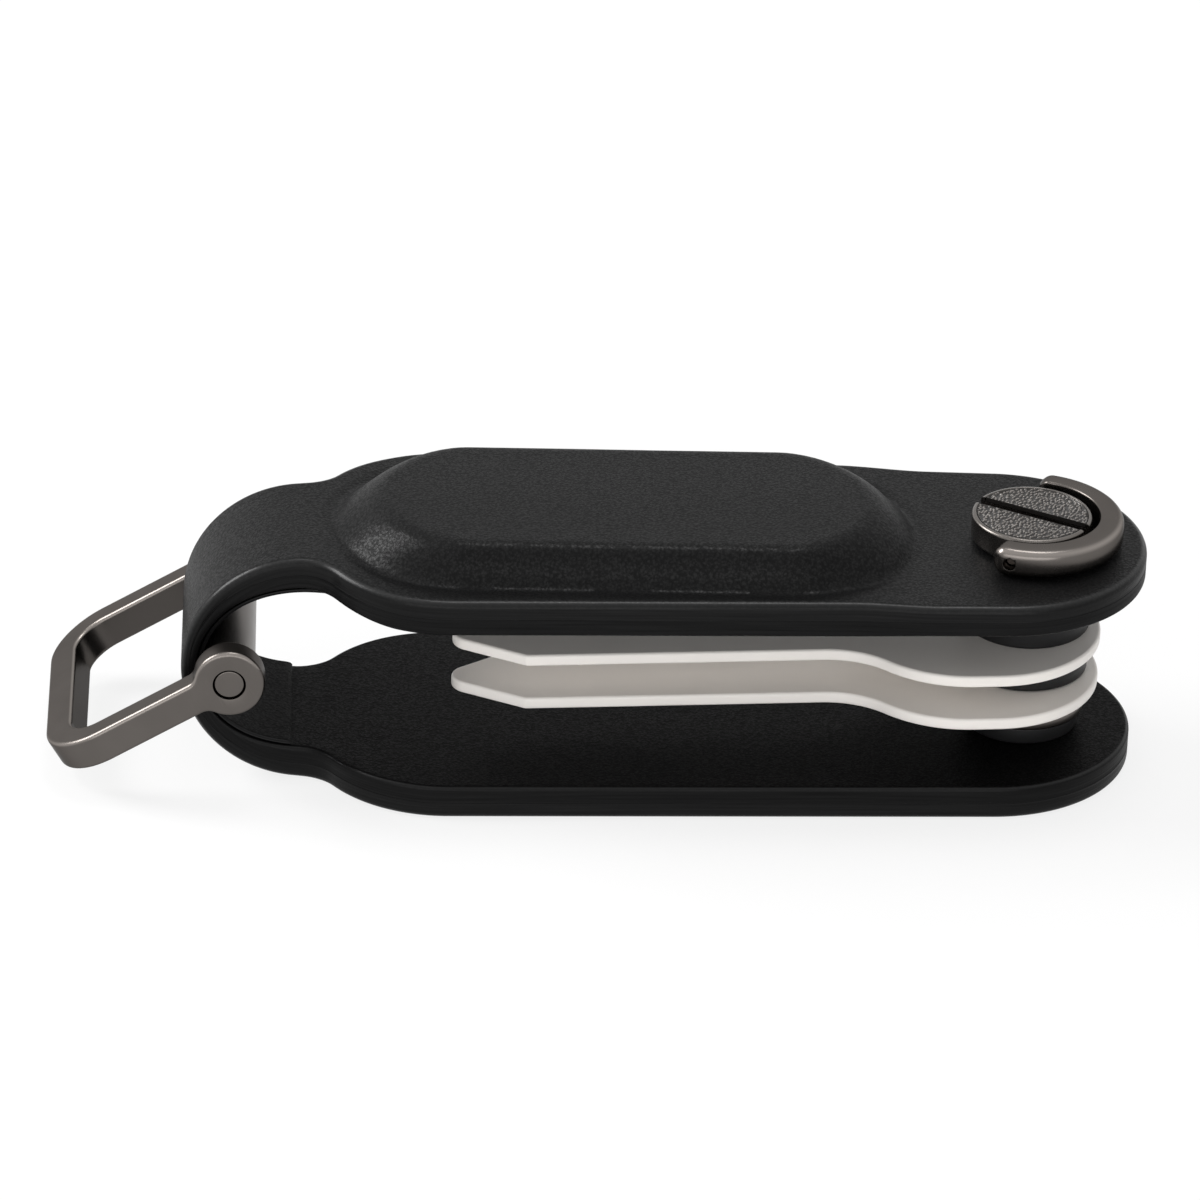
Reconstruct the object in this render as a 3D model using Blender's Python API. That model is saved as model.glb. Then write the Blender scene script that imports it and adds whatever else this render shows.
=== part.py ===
"""Key organizer: a leather strap folded round a shackle's sleeve and closed by a coin screw.

Two key blanks turn on a post through the strap's round ends, with washers and spacers between.
The upper leg has a raised oblong pocket with a flat finder module in it. The origin lies on the
post's axis in the plane of the table, +X points to the screw and +Z up. Sizes are in metres.
"""
import math

import bmesh
import bpy
from mathutils import Matrix, Vector

MM = 0.001

# Gaps between neighbours
STACK_GAP = 0.05 * MM
GLUE_GAP = 0.12 * MM
SEAT_GAP = 0.15 * MM
TURN_GAP = 0.1 * MM

# Strap, its outline
END_RADIUS = 14.2 * MM
LOWER_END_X = 10.55 * MM
UPPER_END_X = 11.1 * MM
BODY_HALF_WIDTH = 15.67 * MM
SHOULDER_RADIUS = 13.0 * MM
NECK_FILLET = 4.5 * MM
NECK_HALF_WIDTH = 8.25 * MM
NECK_RUN_IN = 0.9 * MM
FOLD_CENTRE_X = -68.95 * MM
EDGE_ROUND = 0.5 * MM

# Strap, its thickness and the height of its upper leg
LOWER_THICKNESS = 3.4 * MM
FOLD_THICKNESS = 1.5 * MM
NECK_THICKNESS = 3.1 * MM
MIDDLE_THICKNESS = 3.55 * MM
SCREW_SEAT_THICKNESS = 3.1 * MM
MIDDLE_RISE = 0.4 * MM
FOLD_RISE = 0.75 * MM
FOLD_SLOPE_END_X = -60.0 * MM
DIP_START_X = -18.0 * MM
DIP_END_X = -9.0 * MM

# Liner inside the fold
LINER_THICKNESS = 0.4 * MM
LINER_SIDE_STEP = 0.35 * MM
LINER_LOWER_ANGLE = math.radians(-98)
LINER_UPPER_REACH = 3.4 * MM

# Raised oblong on the upper leg, and the pocket in it
BULGE_CENTRE_X = -38.65 * MM
BULGE_LENGTH = 53.6 * MM
BULGE_WIDTH = 25.0 * MM
BULGE_HEIGHT = 3.45 * MM
BULGE_SHOULDER = 2.9 * MM
BULGE_EDGE_STEP = 0.12 * MM
BULGE_ROOT = 0.8 * MM
POCKET_ROOT = 2.7 * MM
POCKET_PROFILE = (
    (2.2 * MM, 0.15 * MM),
    (2.8 * MM, 1.1 * MM),
    (3.6 * MM, 1.8 * MM),
    (4.4 * MM, 2.05 * MM),
)

# Finder module in the pocket
MODULE_SIDE_GAP = 0.25 * MM
MODULE_WALL = 0.7 * MM
MODULE_SPLIT = 1.3 * MM
MODULE_SPLIT_GAP = 0.06 * MM
BOARD_THICKNESS = 0.8 * MM
BOARD_SIDE_GAP = 0.3 * MM
CELL_LENGTH = 22.0 * MM
CELL_WIDTH = 12.0 * MM
CELL_THICKNESS = 1.0 * MM
CELL_CORNER = 1.5 * MM

# Post through the lower leg, with its base disc flush with the leather
POST_BASE_RADIUS = 5.0 * MM
POST_BASE_THICKNESS = 1.2 * MM
POST_RADIUS = 3.0 * MM
POST_BORE_RADIUS = 2.2 * MM
POST_BORE_DEPTH = 7.6 * MM
POST_TOP_DROP = 0.6 * MM
STRAP_HOLE_GAP = 0.25 * MM
BASE_SINK_GAP = 0.2 * MM

# Stack on the post, from the lower leg up to the upper leg
BASE_WASHER_THICKNESS = 1.65 * MM
BASE_WASHER_RADIUS = 5.5 * MM
COLLAR_THICKNESS = 0.95 * MM
COLLAR_RADIUS = 6.0 * MM
COLLAR_WASHER_THICKNESS = 1.88 * MM
COLLAR_WASHER_RADIUS = 5.5 * MM
KEY_SPACER_THICKNESS = 3.2 * MM
UPPER_SPACER_THICKNESS = 3.25 * MM
TOP_WASHER_THICKNESS = 2.25 * MM
SPACER_RADIUS = 6.1 * MM
WASHER_EDGE = 0.2 * MM
BORE_GAP = 0.15 * MM

# Key blanks
KEY_THICKNESS = 1.2 * MM
KEY_HEAD_RADIUS = 11.05 * MM
KEY_HEAD_X = -3.9 * MM
KEY_HEAD_SIDE = 2.4 * MM
KEY_BLADE_WIDTH = 10.15 * MM
KEY_NECK_FILLET = 7.8 * MM
KEY_REACH = 55.1 * MM
KEY_TIP_LENGTH = 6.6 * MM
KEY_NOSE_RADIUS = 1.9 * MM
KEY_NOSE_ANGLE = math.radians(64)
KEY_EDGE = 0.15 * MM
KEY_HOLE_GAP = 0.2 * MM
KEY_TURN = math.radians(4.3)

# Coin screw
HEAD_WASHER_THICKNESS = 0.2 * MM
HEAD_WASHER_RADIUS = 5.3 * MM
HEAD_RADIUS = 5.76 * MM
HEAD_HEIGHT = 2.5 * MM
HEAD_EDGE = 0.25 * MM
HEAD_RIM = 0.42 * MM
INLAY_DEPTH = 0.45 * MM
SHANK_RADIUS = 2.0 * MM
SHANK_LENGTH = 7.6 * MM
SLOT_WIDTH = 1.3 * MM
SLOT_DEPTH = 1.35 * MM
SLOT_ANGLE = math.radians(-29.2)
INLAY_GAP = 0.1 * MM

# Lift ring round the head
RING_AXIS_ANGLE = math.radians(71.5)
RING_AXIS_HEIGHT = 1.25 * MM
RING_INNER_RADIUS = 6.45 * MM
RING_BOW_THICKNESS = 2.25 * MM
RING_END_THICKNESS = 1.35 * MM
RING_HEIGHT = 2.2 * MM
RING_EDGE = 0.8 * MM
RING_INNER_EDGE = 0.22 * MM
RING_BOSS_PROUD = 0.07 * MM
RING_PIN_RADIUS = 0.5 * MM
RING_PIN_GAP = 0.12 * MM
RING_PIN_SOCKET = 1.5 * MM
RING_PIN_RECESS = 0.2 * MM

# Shackle with its pin and sleeve
PIN_RISE_ANGLE = math.radians(173.9)
SLEEVE_RADIUS = 2.42 * MM
SLEEVE_BORE_GAP = 0.15 * MM
SLEEVE_END_GAP = 0.25 * MM
PIN_RADIUS = 1.4 * MM
PIN_HOLE_GAP = 0.1 * MM
PIN_RECESS = 0.1 * MM
PIN_EDGE = 0.2 * MM
SHACKLE_TILT = math.radians(-31.3)
SHACKLE_GAP_WIDTH = 20.4 * MM
SHACKLE_ARM_THICKNESS = 2.6 * MM
SHACKLE_REACH = 19.38 * MM
SHACKLE_BAR_DEPTH = 2.85 * MM
SHACKLE_BAR_HEIGHT = 3.2 * MM
SHACKLE_BAR_LIFT = 0.2 * MM
SHACKLE_OUTER_CORNER = 5.8 * MM
SHACKLE_INNER_CORNER = 3.0 * MM
SHACKLE_EDGE = 0.35 * MM
EYE_RADIUS = 3.37 * MM
EYE_EDGE = 0.25 * MM

# Cutters reach this far past what they cut, and points closer than the merge distance are one
CUT_OVERRUN = 1.0 * MM
MERGE_DISTANCE = 0.002 * MM

# Facets
ROUND_STEPS = 40
ARC_STEPS = 10
FOLD_STEPS = 24
SIDE_STEPS = 8
BULGE_ARC_STEPS = 12
BOSS_STEPS = 24
PIN_STEPS = 16
BULGE_RINGS = 8
EDGE_STEPS = 3
SHARP_ANGLE = math.radians(32)

# Finishes: colour, roughness and metallic value
LEATHER = ((0.020, 0.020, 0.021), 0.55, 0.0)
LINER = ((0.024, 0.024, 0.025), 0.7, 0.0)
GUNMETAL = ((0.16, 0.145, 0.135), 0.34, 1.0)
BRIGHT_RIM = ((0.32, 0.30, 0.29), 0.28, 1.0)
BLACK_NYLON = ((0.012, 0.012, 0.013), 0.5, 0.0)
KEY_PLASTIC = ((0.80, 0.78, 0.75), 0.42, 0.0)
INLAY_GRAIN = ((0.10, 0.098, 0.096), 0.75, 0.0)
MODULE_PLASTIC = ((0.10, 0.10, 0.11), 0.45, 0.0)
BOARD_GREEN = ((0.03, 0.16, 0.07), 0.5, 0.0)
CELL_FOIL = ((0.55, 0.56, 0.58), 0.35, 1.0)


# Helpers: ramps, objects, finishes and cutters

def ramp(value, start, end):
    """Smooth step from 0 at start to 1 at end."""
    part = min(max((value - start) / (end - start), 0.0), 1.0)
    return part * part * (3.0 - 2.0 * part)


def mix(low, high, part):
    return low + (high - low) * part


def finish(obj, name, look):
    """Give an object its own Principled material."""
    colour, roughness, metallic = look
    material = bpy.data.materials.new(name + "_finish")
    material.use_nodes = True
    shader = material.node_tree.nodes["Principled BSDF"]
    shader.inputs["Base Color"].default_value = (*colour, 1.0)
    shader.inputs["Roughness"].default_value = roughness
    shader.inputs["Metallic"].default_value = metallic
    obj.data.materials.append(material)


def make_object(name, mesh_data, look=None, parent=None):
    """Turn a bmesh into a named object with outward faces. Without a look it is a cutter."""
    bmesh.ops.remove_doubles(mesh_data, verts=mesh_data.verts, dist=MERGE_DISTANCE)
    bmesh.ops.recalc_face_normals(mesh_data, faces=mesh_data.faces)
    mesh = bpy.data.meshes.new(name)
    mesh_data.to_mesh(mesh)
    mesh_data.free()
    obj = bpy.data.objects.new(name, mesh)
    bpy.context.scene.collection.objects.link(obj)
    obj.parent = parent
    mesh.shade_smooth()
    mesh.set_sharp_from_angle(angle=SHARP_ANGLE)
    if look is None:
        obj.hide_render = True
        obj.display_type = "WIRE"
    else:
        finish(obj, name, look)
    return obj


def make_axis(name, place, rotation=Matrix.Identity(3)):
    """An empty on a joint's axis, which carries the pieces that move with it."""
    empty = bpy.data.objects.new(name, None)
    bpy.context.scene.collection.objects.link(empty)
    empty.matrix_world = Matrix.Translation(place) @ rotation.to_4x4()
    return empty


def combine(obj, other, operation):
    """Cut another object from this one, or join it on, with a live Boolean."""
    other.hide_render = True
    other.display_type = "WIRE"
    boolean = obj.modifiers.new(other.name, "BOOLEAN")
    boolean.operation = operation
    boolean.solver = "EXACT"
    boolean.object = other


def loft(name, rings, look=None, parent=None):
    """Skin rings of equal point counts into one closed body with flat caps."""
    mesh_data = bmesh.new()
    rows = [[mesh_data.verts.new(point) for point in ring] for ring in rings]
    count = len(rows[0])
    for low, high in zip(rows, rows[1:]):
        for i in range(count):
            j = (i + 1) % count
            mesh_data.faces.new((low[i], low[j], high[j], high[i]))
    mesh_data.faces.new(reversed(rows[0]))
    mesh_data.faces.new(rows[-1])
    return make_object(name, mesh_data, look, parent)


def turned(name, profile, look=None, parent=None, closed=False, steps=ROUND_STEPS):
    """Turn a profile of (radius, height) points round Z. A closed profile makes a ring."""
    mesh_data = bmesh.new()
    points = [mesh_data.verts.new((radius, 0.0, height)) for radius, height in profile]
    pairs = list(zip(points, points[1:]))
    if closed:
        pairs.append((points[-1], points[0]))
    edges = [mesh_data.edges.new(pair) for pair in pairs]
    bmesh.ops.spin(mesh_data, geom=points + edges, axis=(0, 0, 1), cent=(0, 0, 0),
                   angle=2.0 * math.pi, steps=steps)
    return make_object(name, mesh_data, look, parent)


def ring_profile(inner, outer, bottom, top, edge):
    """A washer's section with its outer corners broken."""
    return [(inner, bottom), (outer - edge, bottom), (outer, bottom + edge),
            (outer, top - edge), (outer - edge, top), (inner, top)]


def rod(name, radius, bottom, top, parent=None, steps=ROUND_STEPS):
    """A plain cylinder along Z, for cutting."""
    profile = [(0.0, bottom), (radius, bottom), (radius, top), (0.0, top)]
    return turned(name, profile, None, parent, steps=steps)


def prism(name, outline, bottom, top, edge, look=None, parent=None):
    """Extrude a flat outline between two heights, with its long edges broken."""
    mesh_data = bmesh.new()
    face = mesh_data.faces.new([mesh_data.verts.new((x, y, bottom)) for x, y in outline])
    extruded = bmesh.ops.extrude_face_region(mesh_data, geom=[face])
    lifted = [item for item in extruded["geom"] if isinstance(item, bmesh.types.BMVert)]
    bmesh.ops.translate(mesh_data, verts=lifted, vec=(0.0, 0.0, top - bottom))
    if edge:
        rims = [item for item in mesh_data.edges
                if abs(item.verts[0].co.z - item.verts[1].co.z) < 0.01 * MM]
        bmesh.ops.bevel(mesh_data, geom=rims, offset=edge, segments=1, affect="EDGES")
    return make_object(name, mesh_data, look, parent)


def arc(centre, radius, start, end, steps):
    """Points on an arc, both ends included."""
    angles = [mix(start, end, i / steps) for i in range(steps + 1)]
    return [(centre[0] + radius * math.cos(a), centre[1] + radius * math.sin(a)) for a in angles]


# The stack on the post

def stack_levels():
    """Bottom and top of each piece on the post, counted up from the lower leg."""
    order = (
        ("base_washer", BASE_WASHER_THICKNESS, STACK_GAP),
        ("post_collar", COLLAR_THICKNESS, STACK_GAP),
        ("collar_washer", COLLAR_WASHER_THICKNESS, STACK_GAP),
        ("lower_key", KEY_THICKNESS, TURN_GAP),
        ("key_spacer", KEY_SPACER_THICKNESS, TURN_GAP),
        ("upper_key", KEY_THICKNESS, TURN_GAP),
        ("upper_spacer", UPPER_SPACER_THICKNESS, TURN_GAP),
        ("top_washer", TOP_WASHER_THICKNESS, STACK_GAP),
    )
    levels = {}
    height = LOWER_THICKNESS
    for name, thickness, gap in order:
        levels[name] = (height + gap, height + gap + thickness)
        height += gap + thickness
    levels["seat"] = (height + STACK_GAP, height + STACK_GAP + SCREW_SEAT_THICKNESS)
    return levels


LEVELS = stack_levels()
SCREW_TOP = LEVELS["seat"][1]
MIDDLE_TOP = SCREW_TOP + MIDDLE_RISE
FOLD_TOP = SCREW_TOP + FOLD_RISE
FOLD_RADIUS = FOLD_TOP / 2.0
LINER_OUTER_DEPTH = FOLD_THICKNESS + GLUE_GAP
PIN_DISTANCE = FOLD_RADIUS - LINER_OUTER_DEPTH - LINER_THICKNESS - SEAT_GAP - SLEEVE_RADIUS
PIN_X = FOLD_CENTRE_X + PIN_DISTANCE * math.cos(PIN_RISE_ANGLE)
PIN_Z = FOLD_RADIUS + PIN_DISTANCE * math.sin(PIN_RISE_ANGLE)


# Strap

def upper_surface(x):
    """Height of the upper leg's outer surface, without the raised oblong."""
    height = mix(FOLD_TOP, MIDDLE_TOP, ramp(x, FOLD_CENTRE_X, FOLD_SLOPE_END_X))
    return mix(height, SCREW_TOP, ramp(x, DIP_START_X, DIP_END_X))


def upper_thickness(x):
    thickness = mix(NECK_THICKNESS, MIDDLE_THICKNESS, ramp(x, FOLD_CENTRE_X, FOLD_SLOPE_END_X))
    return mix(thickness, SCREW_SEAT_THICKNESS, ramp(x, DIP_START_X, DIP_END_X))


def lining_top(x):
    """Height of the lining's upper side, under the glue line."""
    return upper_surface(x) - (upper_thickness(x) + GLUE_GAP) / 2.0


def fold_thickness(angle):
    """The leather is pared down towards the middle of the fold."""
    leg = mix(NECK_THICKNESS, LOWER_THICKNESS, (angle + math.pi * 1.5) / math.pi)
    return mix(leg, FOLD_THICKNESS, math.cos(angle) ** 2)


def on_lower_leg(x, depth):
    return x, depth


def on_upper_leg(x, depth):
    return x, upper_surface(x) - depth


def on_fold(angle, depth):
    radius = FOLD_RADIUS - depth
    return FOLD_CENTRE_X + radius * math.cos(angle), FOLD_RADIUS + radius * math.sin(angle)


def leg_outline(end_x):
    """Half outline of a leg, from its round end to the neck: (x, y, angle of outward normal)."""
    end_centre = Vector((end_x - END_RADIUS, 0.0))
    fillet_centre = Vector((FOLD_CENTRE_X - NECK_RUN_IN, NECK_HALF_WIDTH + NECK_FILLET))
    shoulder_y = BODY_HALF_WIDTH - SHOULDER_RADIUS
    reach = SHOULDER_RADIUS + NECK_FILLET
    drop = fillet_centre.y - shoulder_y
    shoulder_centre = Vector((fillet_centre.x + math.sqrt(reach ** 2 - drop ** 2), shoulder_y))
    run = end_centre - shoulder_centre
    side = math.atan2(run.y, run.x) + math.acos((SHOULDER_RADIUS - END_RADIUS) / run.length)
    joint = math.atan2(fillet_centre.y - shoulder_centre.y, fillet_centre.x - shoulder_centre.x)

    outline = []
    for i in range(ARC_STEPS + 1):
        angle = mix(0.0, side, i / ARC_STEPS)
        x, y = end_centre + END_RADIUS * Vector((math.cos(angle), math.sin(angle)))
        outline.append((x, y, angle))
    side_start = Vector(outline[-1][:2])
    side_end = shoulder_centre + SHOULDER_RADIUS * Vector((math.cos(side), math.sin(side)))
    for i in range(1, SIDE_STEPS):
        x, y = side_start.lerp(side_end, i / SIDE_STEPS)
        outline.append((x, y, side))
    for i in range(ARC_STEPS + 1):
        angle = mix(side, joint, i / ARC_STEPS)
        x, y = shoulder_centre + SHOULDER_RADIUS * Vector((math.cos(angle), math.sin(angle)))
        outline.append((x, y, angle))
    for i in range(1, ARC_STEPS // 2 + 1):
        angle = mix(joint, math.pi / 2.0, i / (ARC_STEPS // 2))
        x, y = fillet_centre - NECK_FILLET * Vector((math.cos(angle), math.sin(angle)))
        outline.append((x, y, angle))
    return outline


def strap_rows():
    """Rows across the strap from the lower leg's end round the fold to the upper leg's end.

    Each row holds its place function, its station, half width, normal angle and thickness.
    """
    rows = []
    for x, y, angle in leg_outline(LOWER_END_X):
        if x >= FOLD_CENTRE_X:
            rows.append((on_lower_leg, x, y, angle, LOWER_THICKNESS))
        else:
            station = -math.pi / 2.0 - (FOLD_CENTRE_X - x) / FOLD_RADIUS
            rows.append((on_fold, station, y, angle, fold_thickness(station)))
    run_in = NECK_RUN_IN / FOLD_RADIUS
    for i in range(1, FOLD_STEPS):
        station = mix(-math.pi / 2.0 - run_in, -math.pi * 1.5 + run_in, i / FOLD_STEPS)
        rows.append((on_fold, station, NECK_HALF_WIDTH, math.pi / 2.0, fold_thickness(station)))
    for x, y, angle in reversed(leg_outline(UPPER_END_X)):
        if x >= FOLD_CENTRE_X:
            rows.append((on_upper_leg, x, y, angle, upper_thickness(x)))
        else:
            station = -math.pi * 1.5 + (FOLD_CENTRE_X - x) / FOLD_RADIUS
            rows.append((on_fold, station, y, angle, fold_thickness(station)))
    return rows


def strap_ply(name, outer):
    """One ply: the outer one is rounded along its outer edge, the lining along its inner edge."""
    rounding = [(EDGE_ROUND * (1.0 - math.sin(a)), EDGE_ROUND * (1.0 - math.cos(a)))
                for a in (mix(0.0, math.pi / 2.0, i / EDGE_STEPS) for i in range(EDGE_STEPS + 1))]
    loops = []
    for place, station, half_width, angle, thickness in strap_rows():
        ply = (thickness - GLUE_GAP) / 2.0
        if outer:
            section = rounding + [(0.0, ply)]
        else:
            section = [(inset, thickness - depth) for inset, depth in rounding]
            section.append((0.0, thickness - ply))
        half = []
        for inset, depth in section:
            shift = 0.0 if place is on_fold else inset * math.cos(angle)
            x, z = place(station - shift, depth)
            half.append(Vector((x, half_width - inset * math.sin(angle), z)))
        mirrored = [Vector((point.x, -point.y, point.z)) for point in reversed(half)]
        loops.append(half + mirrored)

    mesh_data = bmesh.new()
    rows = [[mesh_data.verts.new(point) for point in loop] for loop in loops]
    count = len(rows[0])
    for low, high in zip(rows, rows[1:]):
        for i in range(count):
            j = (i + 1) % count
            mesh_data.faces.new((low[i], low[j], high[j], high[i]))
    return make_object(name, mesh_data, LEATHER)


def oblong(inset, height_at):
    """The raised oblong's outline moved in by an inset, at a height that depends on x."""
    radius = BULGE_WIDTH / 2.0 - inset
    offset = (BULGE_LENGTH - BULGE_WIDTH) / 2.0
    points = arc((BULGE_CENTRE_X + offset, 0.0), radius, -math.pi / 2.0, math.pi / 2.0, BULGE_ARC_STEPS)
    points += arc((BULGE_CENTRE_X - offset, 0.0), radius, math.pi / 2.0, math.pi * 1.5, BULGE_ARC_STEPS)
    return [(x, y, height_at(x)) for x, y in points]


def bulge_ground():
    """The level that the oblong and its pocket rise from: the leg's highest point under them."""
    reach = BULGE_LENGTH / 2.0 - POCKET_PROFILE[0][0]
    ends = (BULGE_CENTRE_X - reach, BULGE_CENTRE_X + reach)
    return max(MIDDLE_TOP, *(upper_surface(x) for x in ends))


def above_leg(rise):
    """Height function that follows the leg low down and is level at the top of the oblong."""
    level = min(max(rise / BULGE_HEIGHT, 0.0), 1.0)
    return lambda x: mix(upper_surface(x), bulge_ground(), level) + rise


def level_at(height):
    return lambda x: height


def bulge():
    """The raised oblong, with an S-shaped shoulder between the leg and its flat top."""
    rings = [oblong(0.0, above_leg(-BULGE_ROOT))]
    for i in range(BULGE_RINGS + 1):
        part = i / BULGE_RINGS
        rise = mix(BULGE_EDGE_STEP, BULGE_HEIGHT, ramp(part, 0.0, 1.0))
        rings.append(oblong(BULGE_SHOULDER * part, above_leg(rise)))
    return loft("bulge", rings)


def pocket():
    """The hollow under the oblong, open to the lining."""
    ground = bulge_ground()
    rings = [oblong(POCKET_PROFILE[0][0], level_at(ground - POCKET_ROOT))]
    rings += [oblong(inset, level_at(ground + rise)) for inset, rise in POCKET_PROFILE]
    return loft("pocket", rings)


def make_strap():
    outer = strap_ply("strap_outer", True)
    combine(outer, bulge(), "UNION")
    combine(outer, pocket(), "DIFFERENCE")
    sink = rod("base_sink", POST_BASE_RADIUS + BASE_SINK_GAP, -CUT_OVERRUN,
               POST_BASE_THICKNESS + STACK_GAP)
    combine(outer, sink, "DIFFERENCE")
    lining = strap_ply("strap_lining", False)
    hole = rod("post_hole", POST_RADIUS + STRAP_HOLE_GAP, -CUT_OVERRUN, SCREW_TOP + CUT_OVERRUN)
    combine(outer, hole, "DIFFERENCE")
    combine(lining, hole, "DIFFERENCE")
    return outer, lining


def make_fold_liner():
    """A thin strip glued inside the fold, from just past its bottom to under the upper leg."""
    half_width = NECK_HALF_WIDTH - LINER_SIDE_STEP
    stations = []
    for i in range(FOLD_STEPS + 1):
        angle = mix(LINER_LOWER_ANGLE, -math.pi * 1.5, i / FOLD_STEPS)
        stations.append((on_fold, angle, fold_thickness(angle)))
    for i in range(1, SIDE_STEPS + 1):
        x = FOLD_CENTRE_X + LINER_UPPER_REACH * i / SIDE_STEPS
        stations.append((on_upper_leg, x, upper_thickness(x)))
    rings = []
    for place, station, thickness in stations:
        depths = (thickness + GLUE_GAP, thickness + GLUE_GAP + LINER_THICKNESS)
        corners = []
        for depth, side in ((depths[0], -1), (depths[1], -1), (depths[1], 1), (depths[0], 1)):
            x, z = place(station, depth)
            corners.append((x, side * half_width, z))
        rings.append(corners)
    return loft("fold_liner", rings, LINER)


# Finder module

def make_module():
    """Tray, cover, board and cell of the flat module, which follow the pocket's profile."""
    base_inset = POCKET_PROFILE[0][0] + MODULE_SIDE_GAP
    reach = BULGE_LENGTH / 2.0 - base_inset
    places = (BULGE_CENTRE_X - reach, BULGE_CENTRE_X, BULGE_CENTRE_X + reach)
    floor = max(lining_top(x) for x in places) + SEAT_GAP
    split = floor + MODULE_SPLIT
    level = level_at

    tray_rings = [oblong(base_inset, level(floor)), oblong(base_inset, level(split)),
                  oblong(base_inset + MODULE_WALL, level(split)),
                  oblong(base_inset + MODULE_WALL, level(floor + MODULE_WALL))]
    loft("tracker_tray", tray_rings, MODULE_PLASTIC)

    outside = [(inset + MODULE_SIDE_GAP, bulge_ground() + rise - SEAT_GAP)
               for inset, rise in POCKET_PROFILE]
    bottom = split + MODULE_SPLIT_GAP
    roof = outside[-1][1] - MODULE_WALL
    cover_rings = [oblong(outside[-1][0] + MODULE_WALL, level(roof))]
    cover_rings += [oblong(outside[1][0] + MODULE_WALL, level(roof - MODULE_WALL))]
    cover_rings += [oblong(base_inset + MODULE_WALL, level(bottom))]
    cover_rings += [oblong(base_inset, level(bottom))]
    cover_rings += [oblong(inset, level(height)) for inset, height in outside]
    loft("tracker_cover", cover_rings, MODULE_PLASTIC)

    board_bottom = floor + MODULE_WALL + STACK_GAP
    board_top = board_bottom + BOARD_THICKNESS
    board_inset = base_inset + MODULE_WALL + BOARD_SIDE_GAP
    board_rings = [oblong(board_inset, level(board_bottom)), oblong(board_inset, level(board_top))]
    loft("tracker_board", board_rings, BOARD_GREEN)

    half = Vector((CELL_LENGTH / 2.0 - CELL_CORNER, CELL_WIDTH / 2.0 - CELL_CORNER))
    outline = []
    for i, (side_x, side_y) in enumerate(((1, 1), (-1, 1), (-1, -1), (1, -1))):
        centre = (BULGE_CENTRE_X + side_x * half.x, side_y * half.y)
        start = i * math.pi / 2.0
        outline += arc(centre, CELL_CORNER, start, start + math.pi / 2.0, 4)
    cell_bottom = board_top + STACK_GAP
    prism("tracker_cell", outline, cell_bottom, cell_bottom + CELL_THICKNESS, WASHER_EDGE, CELL_FOIL)


# Post and what is stacked on it

def make_post():
    top = SCREW_TOP - POST_TOP_DROP
    profile = [
        (0.0, 0.0), (POST_BASE_RADIUS - WASHER_EDGE, 0.0), (POST_BASE_RADIUS, WASHER_EDGE),
        (POST_BASE_RADIUS, POST_BASE_THICKNESS), (POST_RADIUS, POST_BASE_THICKNESS),
        (POST_RADIUS, top - WASHER_EDGE), (POST_RADIUS - WASHER_EDGE, top),
        (POST_BORE_RADIUS, top), (POST_BORE_RADIUS, top - POST_BORE_DEPTH),
        (0.0, top - POST_BORE_DEPTH),
    ]
    turned("post", profile, GUNMETAL)


def make_stack():
    pieces = (
        ("base_washer", BASE_WASHER_RADIUS, BLACK_NYLON),
        ("post_collar", COLLAR_RADIUS, GUNMETAL),
        ("collar_washer", COLLAR_WASHER_RADIUS, BLACK_NYLON),
        ("key_spacer", SPACER_RADIUS, BLACK_NYLON),
        ("upper_spacer", SPACER_RADIUS, BLACK_NYLON),
        ("top_washer", SPACER_RADIUS, BLACK_NYLON),
    )
    for name, radius, look in pieces:
        bottom, top = LEVELS[name]
        turned(name, ring_profile(POST_RADIUS + BORE_GAP, radius, bottom, top, WASHER_EDGE), look,
               closed=True)


# Key blanks

def key_outline():
    """A blank's outline: oval head, hollow fillets, straight blade and a pointed nose."""
    half = KEY_BLADE_WIDTH / 2.0
    inner_x = KEY_HEAD_X - KEY_HEAD_SIDE
    rise = half + KEY_NECK_FILLET
    run = math.sqrt((KEY_HEAD_RADIUS + KEY_NECK_FILLET) ** 2 - rise ** 2)
    fillet = (inner_x - run, rise)
    meet = math.atan2(rise, -run)
    side = arc((KEY_HEAD_X, 0.0), KEY_HEAD_RADIUS, 0.0, math.pi / 2.0, ARC_STEPS)
    side += arc((inner_x, 0.0), KEY_HEAD_RADIUS, math.pi / 2.0, meet, ARC_STEPS // 2)
    side += arc(fillet, KEY_NECK_FILLET, meet - math.pi, -math.pi / 2.0, ARC_STEPS // 2)[1:]
    side.append((-KEY_REACH + KEY_TIP_LENGTH, half))
    nose = (-KEY_REACH + KEY_NOSE_RADIUS, 0.0)
    side += arc(nose, KEY_NOSE_RADIUS, math.pi - KEY_NOSE_ANGLE, math.pi, 4)
    return side + [(x, -y) for x, y in reversed(side[1:-1])]


def make_key(name):
    """A blank on its own axis at the post, turned a little towards the front."""
    bottom, top = LEVELS[name]
    axis = make_axis(name + "_axis", (0.0, 0.0, bottom), Matrix.Rotation(KEY_TURN, 3, "Z"))
    key = prism(name, key_outline(), 0.0, top - bottom, KEY_EDGE, KEY_PLASTIC, axis)
    hole = rod(name + "_hole", POST_RADIUS + KEY_HOLE_GAP, -CUT_OVERRUN,
               top - bottom + CUT_OVERRUN, axis)
    combine(key, hole, "DIFFERENCE")


# Coin screw and lift ring

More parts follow.
